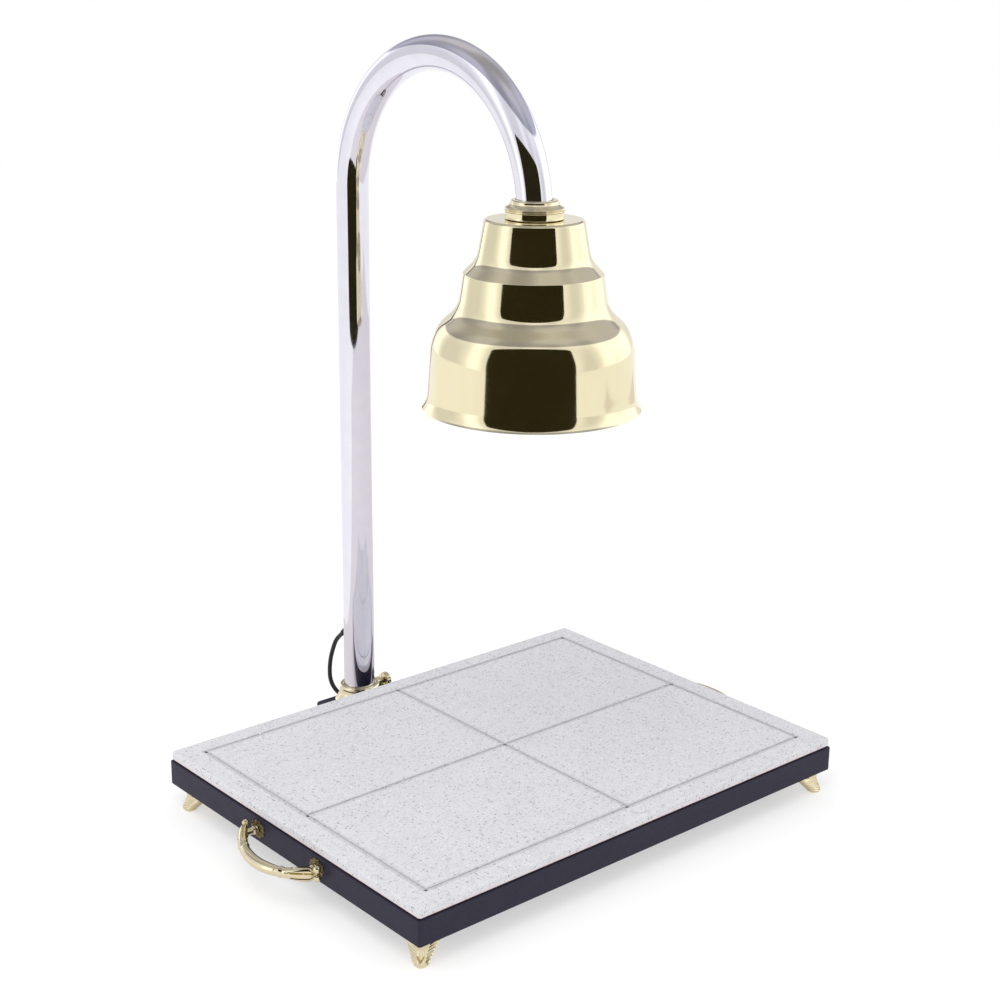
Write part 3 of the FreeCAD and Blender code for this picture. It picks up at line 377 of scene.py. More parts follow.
def shade_band_mask(nodes, links, x, y):
    """Mask of the band of painted shade along the cut lines: their rectangle and the cross inside it."""
    cuts = [(x, at, y, BOARD_Y, LINE_Y) for at in (-LINE_X, 0.0, LINE_X)]
    cuts += [(y, at + BOARD_Y, x, 0.0, LINE_X) for at in (-LINE_Y, 0.0, LINE_Y)]
    band = None
    for across, at, along, middle, reach in cuts:
        strip = times(nodes, links, near(nodes, links, across, at, SHADE_BAND_HALF),
                      near(nodes, links, along, middle, reach + SHADE_BAND_HALF))
        band = strip if band is None else calculate(nodes, links, "MAXIMUM", band, strip)
    return band


def stone_body(nodes, links, place, grain):
    """Colour of the plain stone: a cloudy base with fine grain and grey blotches."""
    cloud = noise(nodes, links, place, 24.0, 4.0)
    base = ramp(nodes, links, cloud, [(0.3, (0.655, 0.655, 0.69)), (0.7, (0.72, 0.72, 0.75))])
    fine = ramp(nodes, links, grain, [(0.36, (0.48, 0.48, 0.51)), (0.5, (0.685, 0.685, 0.715)),
                                      (0.66, (0.80, 0.80, 0.83))])
    colour = mix(nodes, links, 0.55, base, fine)
    blotch = spread(nodes, links, noise(nodes, links, place, 120.0, 3.0, 0.65), 0.0, 0.55, 0.56, 0.72)
    return mix(nodes, links, blotch, colour, (0.44, 0.43, 0.45))


def stone_specks(nodes, links, place, colour):
    """The colour with two sizes of dark grains and one of pale grains."""
    colour = mix(nodes, links, specks(nodes, links, place, 230.0, 0.34, 0.24), colour, (0.37, 0.36, 0.38))
    colour = mix(nodes, links, specks(nodes, links, place, 360.0, 0.38, 0.26), colour, (0.47, 0.46, 0.48))
    return mix(nodes, links, specks(nodes, links, place, 150.0, 0.20, 0.10), colour, (0.90, 0.89, 0.89))


def stone_material():
    """Pale speckled stone, with painted shade in and along its cut lines and in its dimples, and pink at
    its lower rim.
    """
    mat, nodes, links, shader, place = new_material("speckled_stone")
    grain = noise(nodes, links, place, 650.0, 3.0, 0.7)
    colour = stone_body(nodes, links, place, grain)
    xyz = nodes.new("ShaderNodeSeparateXYZ")
    links.new(place, xyz.inputs["Vector"])
    x, y, z = xyz.outputs
    inside = times(nodes, links, near(nodes, links, x, 0.0, INSIDE_X),
                   near(nodes, links, y, BOARD_Y, INSIDE_Y))
    # painted shade on the floors of the cut lines
    line = times(nodes, links, inside, near(nodes, links, z, *LINE_FLOOR))
    colour = mix(nodes, links, times(nodes, links, line, 0.20), colour, (0.40, 0.39, 0.42))
    # painted shade: a patchy grey band along each cut line, standing in for the shade of the grooves
    shade_patches = spread(nodes, links, noise(nodes, links, place, 260.0, 2.0), 0.35, 0.90, 0.35, 0.65)
    band = times(nodes, links, shade_band_mask(nodes, links, x, y), shade_patches)
    colour = mix(nodes, links, band, colour, (0.53, 0.52, 0.55))
    colour = stone_specks(nodes, links, place, colour)
    # painted shade: the dimples' walls made nearly black
    dimple_shade = times(nodes, links, inside, near(nodes, links, z, *DIMPLE_WALL))
    colour = mix(nodes, links, dimple_shade, colour, (0.10, 0.09, 0.11))
    rim = times(nodes, links, near(nodes, links, z, *LOWER_RIM), 0.5)
    colour = mix(nodes, links, rim, colour, (0.80, 0.52, 0.50))
    links.new(colour, shader.inputs["Base Color"])
    links.new(spread(nodes, links, grain, 0.38, 0.55), shader.inputs["Roughness"])
    bump(nodes, links, grain, shader, 0.0001, 0.35)
    return mat


def cork_material():
    mat, nodes, links, shader, place = new_material("pressed_cork")
    cells = nodes.new("ShaderNodeTexVoronoi")
    cells.inputs["Scale"].default_value = 500.0
    links.new(place, cells.inputs["Vector"])
    colour = ramp(nodes, links, cells.outputs["Distance"],
                  [(0.1, (0.55, 0.37, 0.22)), (0.8, (0.26, 0.15, 0.08))])
    links.new(colour, shader.inputs["Base Color"])
    shader.inputs["Roughness"].default_value = 0.9
    bump(nodes, links, cells.outputs["Distance"], shader, 0.0003)
    return mat


def glass_material():
    mat, nodes, links, shader, place = new_material("lamp_glass")
    cloud = noise(nodes, links, place, 60.0, 3.0)
    colour = ramp(nodes, links, cloud, [(0.3, (0.90, 0.90, 0.88)), (0.7, (0.98, 0.98, 0.96))])
    links.new(colour, shader.inputs["Base Color"])
    links.new(spread(nodes, links, cloud, 0.12, 0.22), shader.inputs["Roughness"])
    shader.inputs["Transmission Weight"].default_value = 0.25
    return mat


def all_materials():
    return {
        "stone": stone_material(),
        "black_enamel": plastic("black_enamel", (0.027, 0.026, 0.046), (0.020, 0.020, 0.036),
                                0.34, 0.46, 420.0, 0.00006, 0.03, 0.16),
        "rubber": plastic("black_rubber", (0.022, 0.022, 0.022), (0.010, 0.010, 0.010),
                          0.6, 0.8, 900.0, 0.0001),
        "zinc_steel": metal("zinc_steel", (0.66, 0.66, 0.68), (0.50, 0.50, 0.52), 0.28, 0.45, 260.0),
        "cork": cork_material(),
        "polished_brass": metal("polished_brass", (0.87, 0.79, 0.545), (0.84, 0.76, 0.51),
                                0.045, 0.10, 40.0, (1, 1, 0.3)),
        # dark bronze of the handle rosettes: its darkness is painted shade and painted dark reflection
        "dark_bronze": metal("dark_bronze", (0.30, 0.25, 0.13), (0.10, 0.08, 0.035),
                             0.18, 0.34, 300.0, None, 0.0003),
        "chrome": metal("chrome", (0.80, 0.79, 0.86), (0.77, 0.76, 0.835), 0.035, 0.08, 50.0),
        "cord_jacket": plastic("cord_jacket", (0.010, 0.010, 0.014), (0.006, 0.006, 0.009),
                               0.42, 0.55, 700.0, 0.00006),
        "ceramic": plastic("glazed_ceramic", (0.86, 0.84, 0.79), (0.80, 0.78, 0.73),
                           0.12, 0.2, 200.0, 0.00005, 0.4),
        "lamp_glass": glass_material(),
        "tip_metal": metal("tip_metal", (0.7, 0.7, 0.7), (0.5, 0.5, 0.5), 0.3, 0.5, 300.0),
    }


MATERIALS = all_materials()


def finish_cad_nodes():
    for sub in frame["record"]["subparts"]:
        obj = frame["nodes"][sub["node"]]
        obj.data.materials.clear()
        obj.data.materials.append(MATERIALS[sub["material_slot"]])


finish_cad_nodes()


# ---- mains cord -----------------------------------------------------------------------
CORD_R = 0.0028
CORD_FLOOR = 0.0029
RELIEF_TILT = math.radians(38.0)
EXIT_Z = 0.1183
COIL_X = 0.122
COIL_Y = 0.2305
COIL_OUTER = 0.0460           # centreline of the outermost turn
COIL_COLS = 5
COIL_POINTS = 16              # control points for each turn
COIL_PITCH = 0.00565
CLIMB_DIP = 0.0022
ROUTE_TO_COIL = [
    (0.0, 0.2890, 0.0960),
    (0.0, 0.2976, 0.0798),
    (0.0, 0.3040, 0.0630),
    (0.0001, 0.3069, 0.0466),
    (0.0006, 0.3064, 0.0316),
    (0.0048, 0.3026, 0.0186),
    (0.0129, 0.2954, 0.0086),
    (0.0244, 0.2869, 0.0038),
    (0.0386, 0.2802, CORD_FLOOR),
    (0.0545, 0.2758, CORD_FLOOR),
    (0.0710, 0.2740, CORD_FLOOR),
    (0.0870, 0.2743, CORD_FLOOR),
    (0.1020, 0.2751, CORD_FLOOR),
    (0.1160, 0.2758, CORD_FLOOR),
]
ROUTE_TO_PLUG = [
    (0.1515, 0.2610, 0.0098),
    (0.1680, 0.2536, 0.0094),
    (0.1845, 0.2473, 0.0098),
    (0.2000, 0.2408, 0.0116),
    (0.2065, 0.2382, 0.0116),
]
PLUG_START = Vector((0.2000, 0.2408, 0.0116))
PLUG_DIR = Vector((0.93, -0.367, 0.0)).normalized()
PLUG_LENGTH = 0.0515
PLUG_TAIL = 0.018             # length of the ribbed tail at the cord's end of the plug
PLUG_STEP = 0.0005            # between the stations that its skin is drawn through
PLUG_STATIONS = 103
RELIEF_R = 0.0064
RELIEF_RIM = 0.0022           # length of the bush's plain rim outside the tube
RELIEF_END = 0.0200


def exit_at(along):
    """Point on the cord exit's axis, measured outwards from the tube's rear wall."""
    y = POST_Y + TUBE_R + along * math.cos(RELIEF_TILT)
    return Vector((0.0, y, EXIT_Z - along * math.sin(RELIEF_TILT)))


def coil_turns():
    """One winding: in along the floor, a climb inside, and out again on top."""
    inward = COIL_COLS - 1
    total = 2 * inward + 20.0 / 360.0
    swell = 8.0 / (6.0 + 2.0 * math.cos(2 * math.pi / COIL_POINTS))
    points = []
    n = round(total * COIL_POINTS)
    for i in range(1, n + 1):
        t = total * i / n
        z = CORD_FLOOR
        if t < inward:
            r = COIL_OUTER - COIL_PITCH * t
        elif t < inward + 1:
            f = t - inward
            r = COIL_OUTER - COIL_PITCH * inward - CLIMB_DIP * math.sin(math.pi * f)
            z += COIL_PITCH * smooth_step(f, 0.0, 1.0)
        else:
            r = COIL_OUTER - COIL_PITCH * (2 * inward + 1 - t)
            z += COIL_PITCH
        a = math.pi / 2 - 2 * math.pi * t
        points.append((COIL_X + swell * r * math.cos(a), COIL_Y + swell * r * math.sin(a), z))
    return points


def spline_points(route, name):
    """Points read from the route's smooth NURBS spline."""
    curve = bpy.data.curves.new(name, "CURVE")
    curve.dimensions = "3D"
    spline = curve.splines.new("NURBS")
    spline.points.add(len(route) - 1)
    for point, place in zip(spline.points, route):
        point.co = (*place, 1.0)
    spline.order_u = 3
    spline.use_endpoint_u = True
    curve.resolution_u = 6
    holder = bpy.data.objects.new(name, curve)
    mesh = bpy.data.meshes.new_from_object(holder)
    points = [v.co.copy() for v in mesh.vertices]
    bpy.data.objects.remove(holder)
    bpy.data.meshes.remove(mesh)
    return points


def plug_section(s):
    """Half width, half height and squareness of the plug, a distance s from its tail's end."""
    if s < PLUG_TAIL:
        rib = 0.0006 * (0.5 - 0.5 * math.cos(2 * math.pi * s / 0.003)) * smooth_step(s, 0.001, 0.004)
        half = 0.0037 + 0.0016 * s / PLUG_TAIL - rib
        return half, half, 2.0
    g = (s - PLUG_TAIL) / (PLUG_LENGTH - PLUG_TAIL)
    swell = smooth_step(g, 0.0, 0.22)
    waist = 0.0022 * bell(g, 0.45, 0.16)
    nose = 1.0 - 0.06 * smooth_step(g, 0.95, 1.0)
    return (0.0053 + 0.0070 * swell - waist) * nose, (0.0053 + 0.0055 * swell) * nose, 2.0 + 2.2 * swell


def plug_mesh():
    """Moulded plug: ribbed tapering tail, then a waisted grip, as one skin."""
    sides = 40
    cross = Vector((-PLUG_DIR.y, PLUG_DIR.x, 0.0))
    stations = [i * PLUG_STEP for i in range(PLUG_STATIONS)]
    verts = []
    for s in stations:
        half_w, half_h, power = plug_section(s)
        for k in range(sides):
            a = 2 * math.pi * k / sides
            c = math.cos(a)
            d = math.sin(a)
            y = half_w * math.copysign(abs(c) ** (2 / power), c)
            z = half_h * math.copysign(abs(d) ** (2 / power), d)
            verts.append(PLUG_START + PLUG_DIR * s + cross * y + Vector((0, 0, z)))
    return verts, capped_faces(len(stations), sides)


def relief_radius(s):
    """Radius of the cord's bush, a distance s outside the tube."""
    if s < RELIEF_RIM:
        return RELIEF_R - 0.0009 * smooth_step(s, 0.0010, RELIEF_RIM)
    f = (s - RELIEF_RIM) / (RELIEF_END - RELIEF_RIM)
    ribs = 0.0007 * (0.5 + 0.5 * math.cos(2 * math.pi * s / 0.0032)) * (1 - smooth_step(f, 0.9, 1.0))
    return min(0.0048 - 0.0014 * f + ribs * (1 - 0.4 * f), RELIEF_R)


def relief_mesh():
    """Rubber bush with a plain rim and a ribbed tail that tapers onto the cord."""
    places = [-0.0035 + i * 0.00028 for i in range(84)]
    places = [s for s in places if s <= 0.0199]
    radii = [relief_radius(s) for s in places]
    return sweep([exit_at(s) for s in places], lambda i, a: radii[i], 40)


def make_cord():
    start = exit_at(0.019)
    route = [tuple(start)] + ROUTE_TO_COIL + coil_turns() + ROUTE_TO_PLUG
    points = spline_points(route, "cord_line")
    verts, faces = sweep(points, CORD_R, 14)
    cord = piece("mains_cord_jacket", verts, faces, None, "cord_jacket")
    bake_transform(cord)
    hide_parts("mains_cord", "mains_cord_coil", "mains_cord_tail")
    plug = piece("moulded_plug", *plug_mesh(), "base", "cord_jacket", 50)
    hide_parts("plug_body")
    relief = piece("ribbed_strain_relief", *relief_mesh(), "post", "rubber", 50)
    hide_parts("cord_relief")


make_cord()


# ---- shade and the rings over it --------------------------------------------------------
SHADE_WALL = 0.001
# Radius, height over the mouth and rounding of the shade's corners, from its top down.
SHADE_CORNERS = [
    (0.0102, 0.1992, 0.0),
    (0.0524, 0.1992, 0.0035),
    (0.0602, 0.1571, 0.0240),
    (0.0740, 0.1430, 0.0022),
    (0.0797, 0.1053, 0.0320),
    (0.1000, 0.0876, 0.0340),
    (0.1076, 0.0690, 0.0580),
    (0.1118, 0.0073, 0.0260),
    (0.1170, 0.0000, 0.0),
]


def offset_inward(outline, wall):
    """The outline moved towards the axis and down by the wall, along its own normals."""
    out = []
    for i, (r, z) in enumerate(outline):
        before = outline[max(i - 1, 0)]
        after = outline[min(i + 1, len(outline) - 1)]
        d = Vector((after[0] - before[0], after[1] - before[1])).normalized()
        out.append((r + d.y * wall, z - d.x * wall))
    out[-1] = (out[-1][0], outline[-1][1])
    return out


def make_shade():
    outer = rounded([(r, SHADE_LIP + z, c) for r, z, c in SHADE_CORNERS], 3.0)
    fine = [outer[0]]
    for a, b in zip(outer[:-1], outer[1:]):
        n = max(1, round(math.dist(a, b) / 0.008))
        fine += [(a[0] + (b[0] - a[0]) * k / n, a[1] + (b[1] - a[1]) * k / n) for k in range(1, n + 1)]
    inner = offset_inward(fine, SHADE_WALL)
    verts, faces = lathe((fine + inner[::-1])[::-1], (0.0, LAMP_Y), 192)
    shade = piece("spun_shade", verts, faces, "post", "polished_brass", 50)
    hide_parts("shade")


def ring_piece(name, node, corners):
    """Turned ring: corners of radius, height over the node's base and rounding, in millimetres."""
    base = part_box(node)[0].z
    profile = rounded([(r * MM, base + h * MM, c * MM) for r, h, c in corners], 12.0)
    verts, faces = lathe(profile[::-1], (0.0, LAMP_Y), 144)
    ring = piece(name, verts, faces, "post", "polished_brass", 40)
    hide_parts(node)


def make_neck():
    ring_piece("turned_neck_nut", "neck_nut",
               [(19.2, 0.0, 0), (30.9, 0.0, 0.4), (31.3, 0.8, 0.4), (31.0, 1.6, 0.4), (31.0, 7.0, 0.4),
                (31.4, 7.8, 0.4), (31.4, 8.6, 0.6), (30.2, 9.8, 0.6), (19.2, 9.8, 0)])
    ring_piece("domed_neck_collar", "neck_collar",
               [(19.25, 0.0, 0), (30.8, 0.0, 0.5), (31.5, 0.9, 0.5), (30.6, 2.1, 0.6), (28.2, 3.2, 1.2),
                (26.0, 5.2, 1.4), (25.3, 6.6, 1.0), (25.1, 8.2, 1.2), (24.0, 9.6, 1.0), (20.6, 9.7, 0.6),
                (20.3, 9.0, 0)])


# ---- post -------------------------------------------------------------------------------
def make_post():
    bottom = TUBE_LOW.z
    points = []
    straight = 24
    for i in range(straight):
        points.append((0.0, POST_Y, bottom + (HOOK_Z - bottom) * i / straight))
    steps = 120
    for i in range(steps + 1):
        a = math.pi * i / steps
        points.append((0.0, POST_Y - HOOK_R + HOOK_R * math.cos(a), HOOK_Z + HOOK_R * math.sin(a)))
    points[-1] = (0.0, LAMP_Y, HOOK_Z + 0.0019)
    verts, faces = sweep(points, TUBE_R, 128, first_side=Vector((1, 0, 0)))
    tube = piece("bent_post_tube", verts, faces, "post", "chrome", 60)
    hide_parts("post_tube")


def make_holder():
    """Cup round the post with the thumbscrew's boss: corners of radius, distance and rounding in mm."""
    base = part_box("post_socket")[0].z
    bore = TUBE_R / MM + 0.05
    corners = [(0.0005, 0, 0), (30.6, 0, 0.4), (31.0, 0.6, 0.4), (31.0, 3.6, 1.0), (29.4, 5.2, 1.2),
               (27.6, 9.0, 6.0), (25.2, 14.0, 12.0), (24.4, 19.6, 3.0), (24.9, 21.0, 0.6),
               (24.9, 22.8, 0.8), (23.6, 24.6, 1.0), (20.8, 24.6, 0.7), (bore, 23.2, 0), (bore, 2.4, 0),
               (0.0005, 2.4, 0)]
    profile = rounded([(r * MM, base + h * MM, c * MM) for r, h, c in corners], 12.0)
    cup = lathe(profile[::-1], (0.0, POST_Y), 144)
    boss_corners = [(3.05, 21.0, 0), (6.4, 21.0, 0), (6.4, 27.2, 0.6), (5.8, 28.0, 0.4), (5.8, 29.0, 0.3),
                    (6.4, 29.6, 0.3), (6.4, 30.4, 0.4), (3.05, 30.4, 0)]
    boss_profile = rounded([(r * MM, x * MM, c * MM) for r, x, c in boss_corners], 15.0)
    boss = lathe(boss_profile[::-1], (0.0, POST_Y, THUMB_Z), 72, "X")
    verts, faces = merge(cup, (boss[0], turned_over(boss[1])))
    holder = piece("cast_post_holder", verts, faces, "base", "polished_brass", 40)
    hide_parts("post_socket")


# Radius and place along X of the thumbscrew's rows: its round shank and neck, then its lobed rim.
KNOB_FACE_X = 0.0440
SHANK_ROWS = [(0.0001, THUMB_LOW.x), (0.0030, THUMB_LOW.x), (0.0030, 0.0338), (0.0046, 0.0339),
              (0.0050, 0.0346), (0.0046, 0.0353), (0.0064, 0.0362)]
RIM_ROWS = [(0.0082, 0.0366), (0.0093, 0.0371), (0.0097, 0.0380), (0.0098, 0.0395), (0.0098, 0.0415),
            (0.0096, 0.0428), (0.0091, 0.0436), (0.0084, KNOB_FACE_X)]
FACE_ROWS = [(0.0082 * (1 - i / 26.0) + 0.0001, KNOB_FACE_X) for i in range(26)]


def make_thumbscrew():
    """Shank, turned neck and a lobed knob with a cross of hollows in its face."""
    sides = 128
    rows = SHANK_ROWS + RIM_ROWS + FACE_ROWS
    verts = []
    for i, (r, x) in enumerate(rows):
        lobed = i >= len(SHANK_ROWS)
        hollowed = i >= len(SHANK_ROWS) + len(RIM_ROWS)
        for k in range(sides):
            a = 2 * math.pi * k / sides
            lobe = 0.055 * (0.5 - 0.5 * math.cos(8 * a)) * smooth_step(r, 0.006, 0.009)
            reach = r * (1 - lobe) if lobed else r
            ring = smooth_step(r, 0.0016, 0.0024) * (1 - smooth_step(r, 0.0058, 0.0066))
            arm = smooth_step(abs(math.cos(2 * a)), 0.35, 0.6)
            at = x - 0.0022 * ring * arm + 0.0002 if hollowed else x
            y = POST_Y + reach * math.cos(a)
            verts.append((min(at, THUMB_HIGH.x), y, THUMB_Z + reach * math.sin(a)))
    knob = piece("lobed_thumbscrew", verts, capped_faces(len(rows), sides), "thumbscrew",
                 "polished_brass", 40)
    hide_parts("thumbscrew")


# ---- carrying handles ---------------------------------------------------------------------
HANDLE_ARC_R = 0.08558
HANDLE_REACH = 0.0382
HANDLE_DROP = 0.0036
HANDLE_END = 0.0655
HANDLE_SPREAD = 0.0540
HANDLE_Z = 0.0410
HANDLE_Y = BOARD_Y - 0.006
RING_AT = 0.52                # bead rings, as a share of the bow from its middle to its end
LEAF_TIP = 0.90               # where the leaves begin to close
ROD_R = 0.0061
STUB_STEPS = 24


def bow_point(side, share):
    y = share * HANDLE_END
    reach = HANDLE_REACH - HANDLE_ARC_R + math.sqrt(HANDLE_ARC_R ** 2 - y ** 2)
    return Vector((side * (FRAME_X + reach), HANDLE_Y + y, HANDLE_Z - HANDLE_DROP * (1 - share * share)))


def bow_radius(share, angle):
    """Round in the middle, a bead ring, then ribbed leaves that open out above and below."""
    s = abs(share)
    plain = ROD_R - 0.0007 * smooth_step(s, 0.2, RING_AT)
    bead = 0.00075 * bell(s, RING_AT, 0.026)
    neck = 0.0003 * (bell(s, RING_AT + 0.06, 0.018) + bell(s, RING_AT - 0.06, 0.018))
    leaf = smooth_step(s, RING_AT + 0.04, LEAF_TIP)
    tall = plain + 0.0028 * leaf
    broad = plain + 0.0002 * leaf
    oval = 1.0 / math.sqrt((math.cos(angle) / tall) ** 2 + (math.sin(angle) / broad) ** 2)
    ridge = abs(math.sin(3.0 * angle))
    groove = 0.0026 * smooth_step(leaf, 0.0, 0.5) * (1 - smooth_step(ridge, 0.0, 0.55))
    tip = 1 - 0.75 * smooth_step(s, LEAF_TIP, 1.0) ** 1.5
    return (oval + bead - neck - groove) * tip


def stub_radius(i, angle):
    """Waisted stub between rosette and bow, with a bead near the rosette."""
    return 0.0047 - 0.0008 * math.sin(math.pi * i / STUB_STEPS) + 0.0005 * bell(i, 5, 1.6)


def scroll(centre, r, tilt):
    """Small curled end: a flattened ball with a spiral furrow."""
    rows = 20
    sides = 28
    verts = []
    for i in range(rows):
        v = math.pi * (i + 0.5) / rows
        for k in range(sides):
            a = 2 * math.pi * k / sides
            furrow = 1 - 0.16 * (0.5 + 0.5 * math.cos(a * 2 + v * 3.0)) * math.sin(v)
            x = r * 1.05 * math.sin(v) * math.cos(a) * furrow
            y = r * 0.95 * math.cos(v)
            z = r * math.sin(v) * math.sin(a) * furrow
            verts.append(centre + Vector((x, y * math.cos(tilt) - z * math.sin(tilt),
                                          y * math.sin(tilt) + z * math.cos(tilt))))
    return verts, capped_faces(rows, sides)


def handle_mesh(side):
    shares = [-1 + 2 * i / 240 for i in range(241)]
    points = [bow_point(side, s) for s in shares]
    bow = sweep(points, lambda i, a: bow_radius(shares[i], a), 72, first_side=Vector((0, 0, 1)))
    parts = [bow]
    face = side * (FRAME_X + 0.0026)
    for s in (-1, 1):
        y = HANDLE_Y + s * HANDLE_SPREAD
        stub = [Vector((face + side * 0.0172 * i / STUB_STEPS, y, HANDLE_Z)) for i in range(STUB_STEPS + 1)]
        parts.append(sweep(stub, stub_radius, 40))
        end = bow_point(side, s)
        for up in (-1, 1):
            place = end + Vector((side * 0.0002, s * 0.0002, up * 0.0048))
            parts.append(scroll(place, 0.0042, 0.5 * up * s))
        inner = bow_point(side, s * LEAF_TIP) + Vector((side * 0.0046, 0.0, 0.0))
        parts.append(scroll(inner, 0.0024, 0.2))
    return merge(*parts)


def rosette_mesh(side, s):
    """Boss with two rows of petals round a raised middle, flat at the back."""
    rows = 44
    sides = 160
    rim_y = 0.0125
    rim_z = 0.0105
    thick = 0.0026
    verts = []
    for i in range(rows):
        f = 1 - i / (rows - 0.4)
        for k in range(sides):
            a = 2 * math.pi * k / sides
            lobe = 1 - 0.10 * (0.5 - 0.5 * math.cos(10 * a)) ** 0.6 * smooth_step(f, 0.5, 1.0)
            outer_row = smooth_step(f, 0.42, 0.62) * (1 - smooth_step(f, 0.9, 1.0))
            inner_row = smooth_step(f, 0.22, 0.32) * (1 - smooth_step(f, 0.46, 0.54))
            petal = 0.35 * abs(math.sin(5 * a)) ** 0.7 * outer_row
            inner = 0.25 * abs(math.cos(5 * a)) ** 0.7 * inner_row
            edge = 0.30 + 0.30 * (1 - f)
            h = thick * min(1.0, (edge + petal + inner) * smooth_step(1.02 - f, 0.0, 0.06) + 0.05)
            y = HANDLE_Y + s * HANDLE_SPREAD + rim_y * lobe * f * math.cos(a)
            verts.append((side * (FRAME_X + h), y, HANDLE_Z + rim_z * lobe * f * math.sin(a)))
    back = [(side * FRAME_X, v[1], v[2]) for v in verts[:sides]]
    verts = back + verts
    faces = capped_faces(rows + 1, sides)
    return verts, faces if side > 0 else turned_over(faces)


def make_handles():
    for name, side in (("left", -1), ("right", 1)):
        handle = piece("leafed_" + name + "_handle", *handle_mesh(side), "base", "polished_brass", 50)
        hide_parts(name + "_handle")
        for end, s in (("front", -1), ("rear", 1)):
            # the rosettes' dark bronze is painted shade and painted dark reflection
            boss = piece("petal_rosette_" + name + "_" + end, *rosette_mesh(side, s), "base",
                         "dark_bronze", 60)
            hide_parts(name + "_handle_rosette_" + end)


# ---- feet ---------------------------------------------------------------------------------
# Height, half width, middle's distance from both frame faces, corner rounding, in millimetres.
FOOT_SECTIONS = [
    (0.0, 6.6, 9.6, 5.4),
    (3.0, 8.2, 10.0, 6.2),
    (9.0, 9.6, 13.2, 5.8),
    (17.0, 12.4, 18.5, 4.8),
    (22.6, 15.3, 21.9, 3.2),
    (25.4, 16.0, 22.6, 3.0),
]
# Further distance of each foot from the frame's end and from its front or rear, in millimetres.
FOOT_SHIFTS = {(-1, -1): (0.0, -0.8), (1, -1): (6.7, -1.6), (-1, 1): (-1.0, 15.0), (1, 1): (0.0, 15.0)}
FOOT_RIM_Z = 22.6             # these four in millimetres too
ARCH_PITCH = 3.3
ARCH_DEPTH = 0.95
NOTCH_DEPTH = 3.4


def foot_section(z):
    for low, high in zip(FOOT_SECTIONS[:-1], FOOT_SECTIONS[1:]):
        if z <= high[0]:
            f = (z - low[0]) / (high[0] - low[0])
            return [low[i] + (high[i] - low[i]) * f for i in (1, 2, 3)]
    return FOOT_SECTIONS[-1][1:]


def square_reach(half, r, a):
    """Distance from the middle of a rounded square to its edge, in direction a."""
    c = abs(math.cos(a))
    d = abs(math.sin(a))
    reach = half / max(c, d)
    x = reach * c
    y = reach * d
    inner = half - r
    if x > inner and y > inner:
        b = (c + d) * inner
        reach = b + math.sqrt(max(b * b - (2 * inner * inner - r * r), 0.0))
    return reach


def flank_cut(z, front, reach):
    """Depth of the nested arches in a foot's flanks, in direction front from its toe."""
    height = smooth_step(z, 2.0, 5.0) * (1 - smooth_step(z, FOOT_RIM_Z, 24.2))
    flank = smooth_step(abs(front), 0.46, 0.66) * (1 - smooth_step(abs(front), 2.5, 2.8))
    arch = math.hypot(reach * math.sin(abs(front) - math.pi / 2), 1.15 * z + 2.0)
    flute = 0.5 - 0.5 * math.cos(2 * math.pi * arch / ARCH_PITCH)
    return ARCH_DEPTH * flute * height * flank


def toe_cut(z, across):
    """Depth of the notch over the toe, less the rim round it and the ridge above it."""
    width = 3.7 * smooth_step(z, 4.6, 11.0)
    inside = smooth_step(width - abs(across), -0.35, 0.5) * (1 - smooth_step(z, 11.0, 11.9))
    notch = NOTCH_DEPTH * inside * smooth_step(z, 4.8, 6.6)
    rim = bell(abs(across), width + 1.1, 0.8) * smooth_step(z, 6.5, 9.0) * (1 - smooth_step(z, 12.0, 14.0))
    ridge = bell(across, 0.0, 1.0) * smooth_step(z, 12.5, 14.5) * (1 - smooth_step(z, 18.0, 21.5))
    return notch - 0.35 * rim - 0.3 * ridge


def foot_mesh(sx, sy):
    """Cast foot: nested arches on its flanks, a rim under the frame and a notch over the toe."""
    rows = 78
    sides = 176
    top = FRAME_BOTTOM / MM
    dx, dy = FOOT_SHIFTS[sx, sy]
    verts = []
    for i in range(rows):
        z = top * i / (rows - 1)
        half, inset, r = foot_section(z)
        for k in range(sides):
            a = 2 * math.pi * k / sides
            reach = square_reach(half, r, a)
            front = (a - math.pi / 4 + math.pi) % (2 * math.pi) - math.pi
            across = reach * math.sin(front)
            reach -= flank_cut(z, front, reach)
            reach -= 0.5 * bell(z, FOOT_RIM_Z, 0.55) + 0.35 * bell(z, 3.4, 0.6)
            if abs(front) < 1.2:
                reach -= toe_cut(z, across)
            reach = max(min(reach, square_reach(half, r, a)), 1.0)
            x = sx * (FRAME_X - (dx + inset - reach * math.cos(a)) * MM)
            y = BOARD_Y + sy * (FRAME_Y - (dy + inset - reach * math.sin(a)) * MM)
            verts.append((x, y, z * MM))
    faces = capped_faces(rows, sides)
    return verts, faces if sx * sy > 0 else turned_over(faces)


def make_feet():
    for sx, x_name in ((-1, "left"), (1, "right")):
        for sy, y_name in ((-1, "front"), (1, "rear")):
            place = y_name + "_" + x_name
            foot = piece("fluted_foot_" + place, *foot_mesh(sx, sy), "base", "polished_brass", 45)
            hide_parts("foot_" + place)


make_shade()
make_neck()
make_post()
make_holder()
make_thumbscrew()
make_handles()
make_feet()


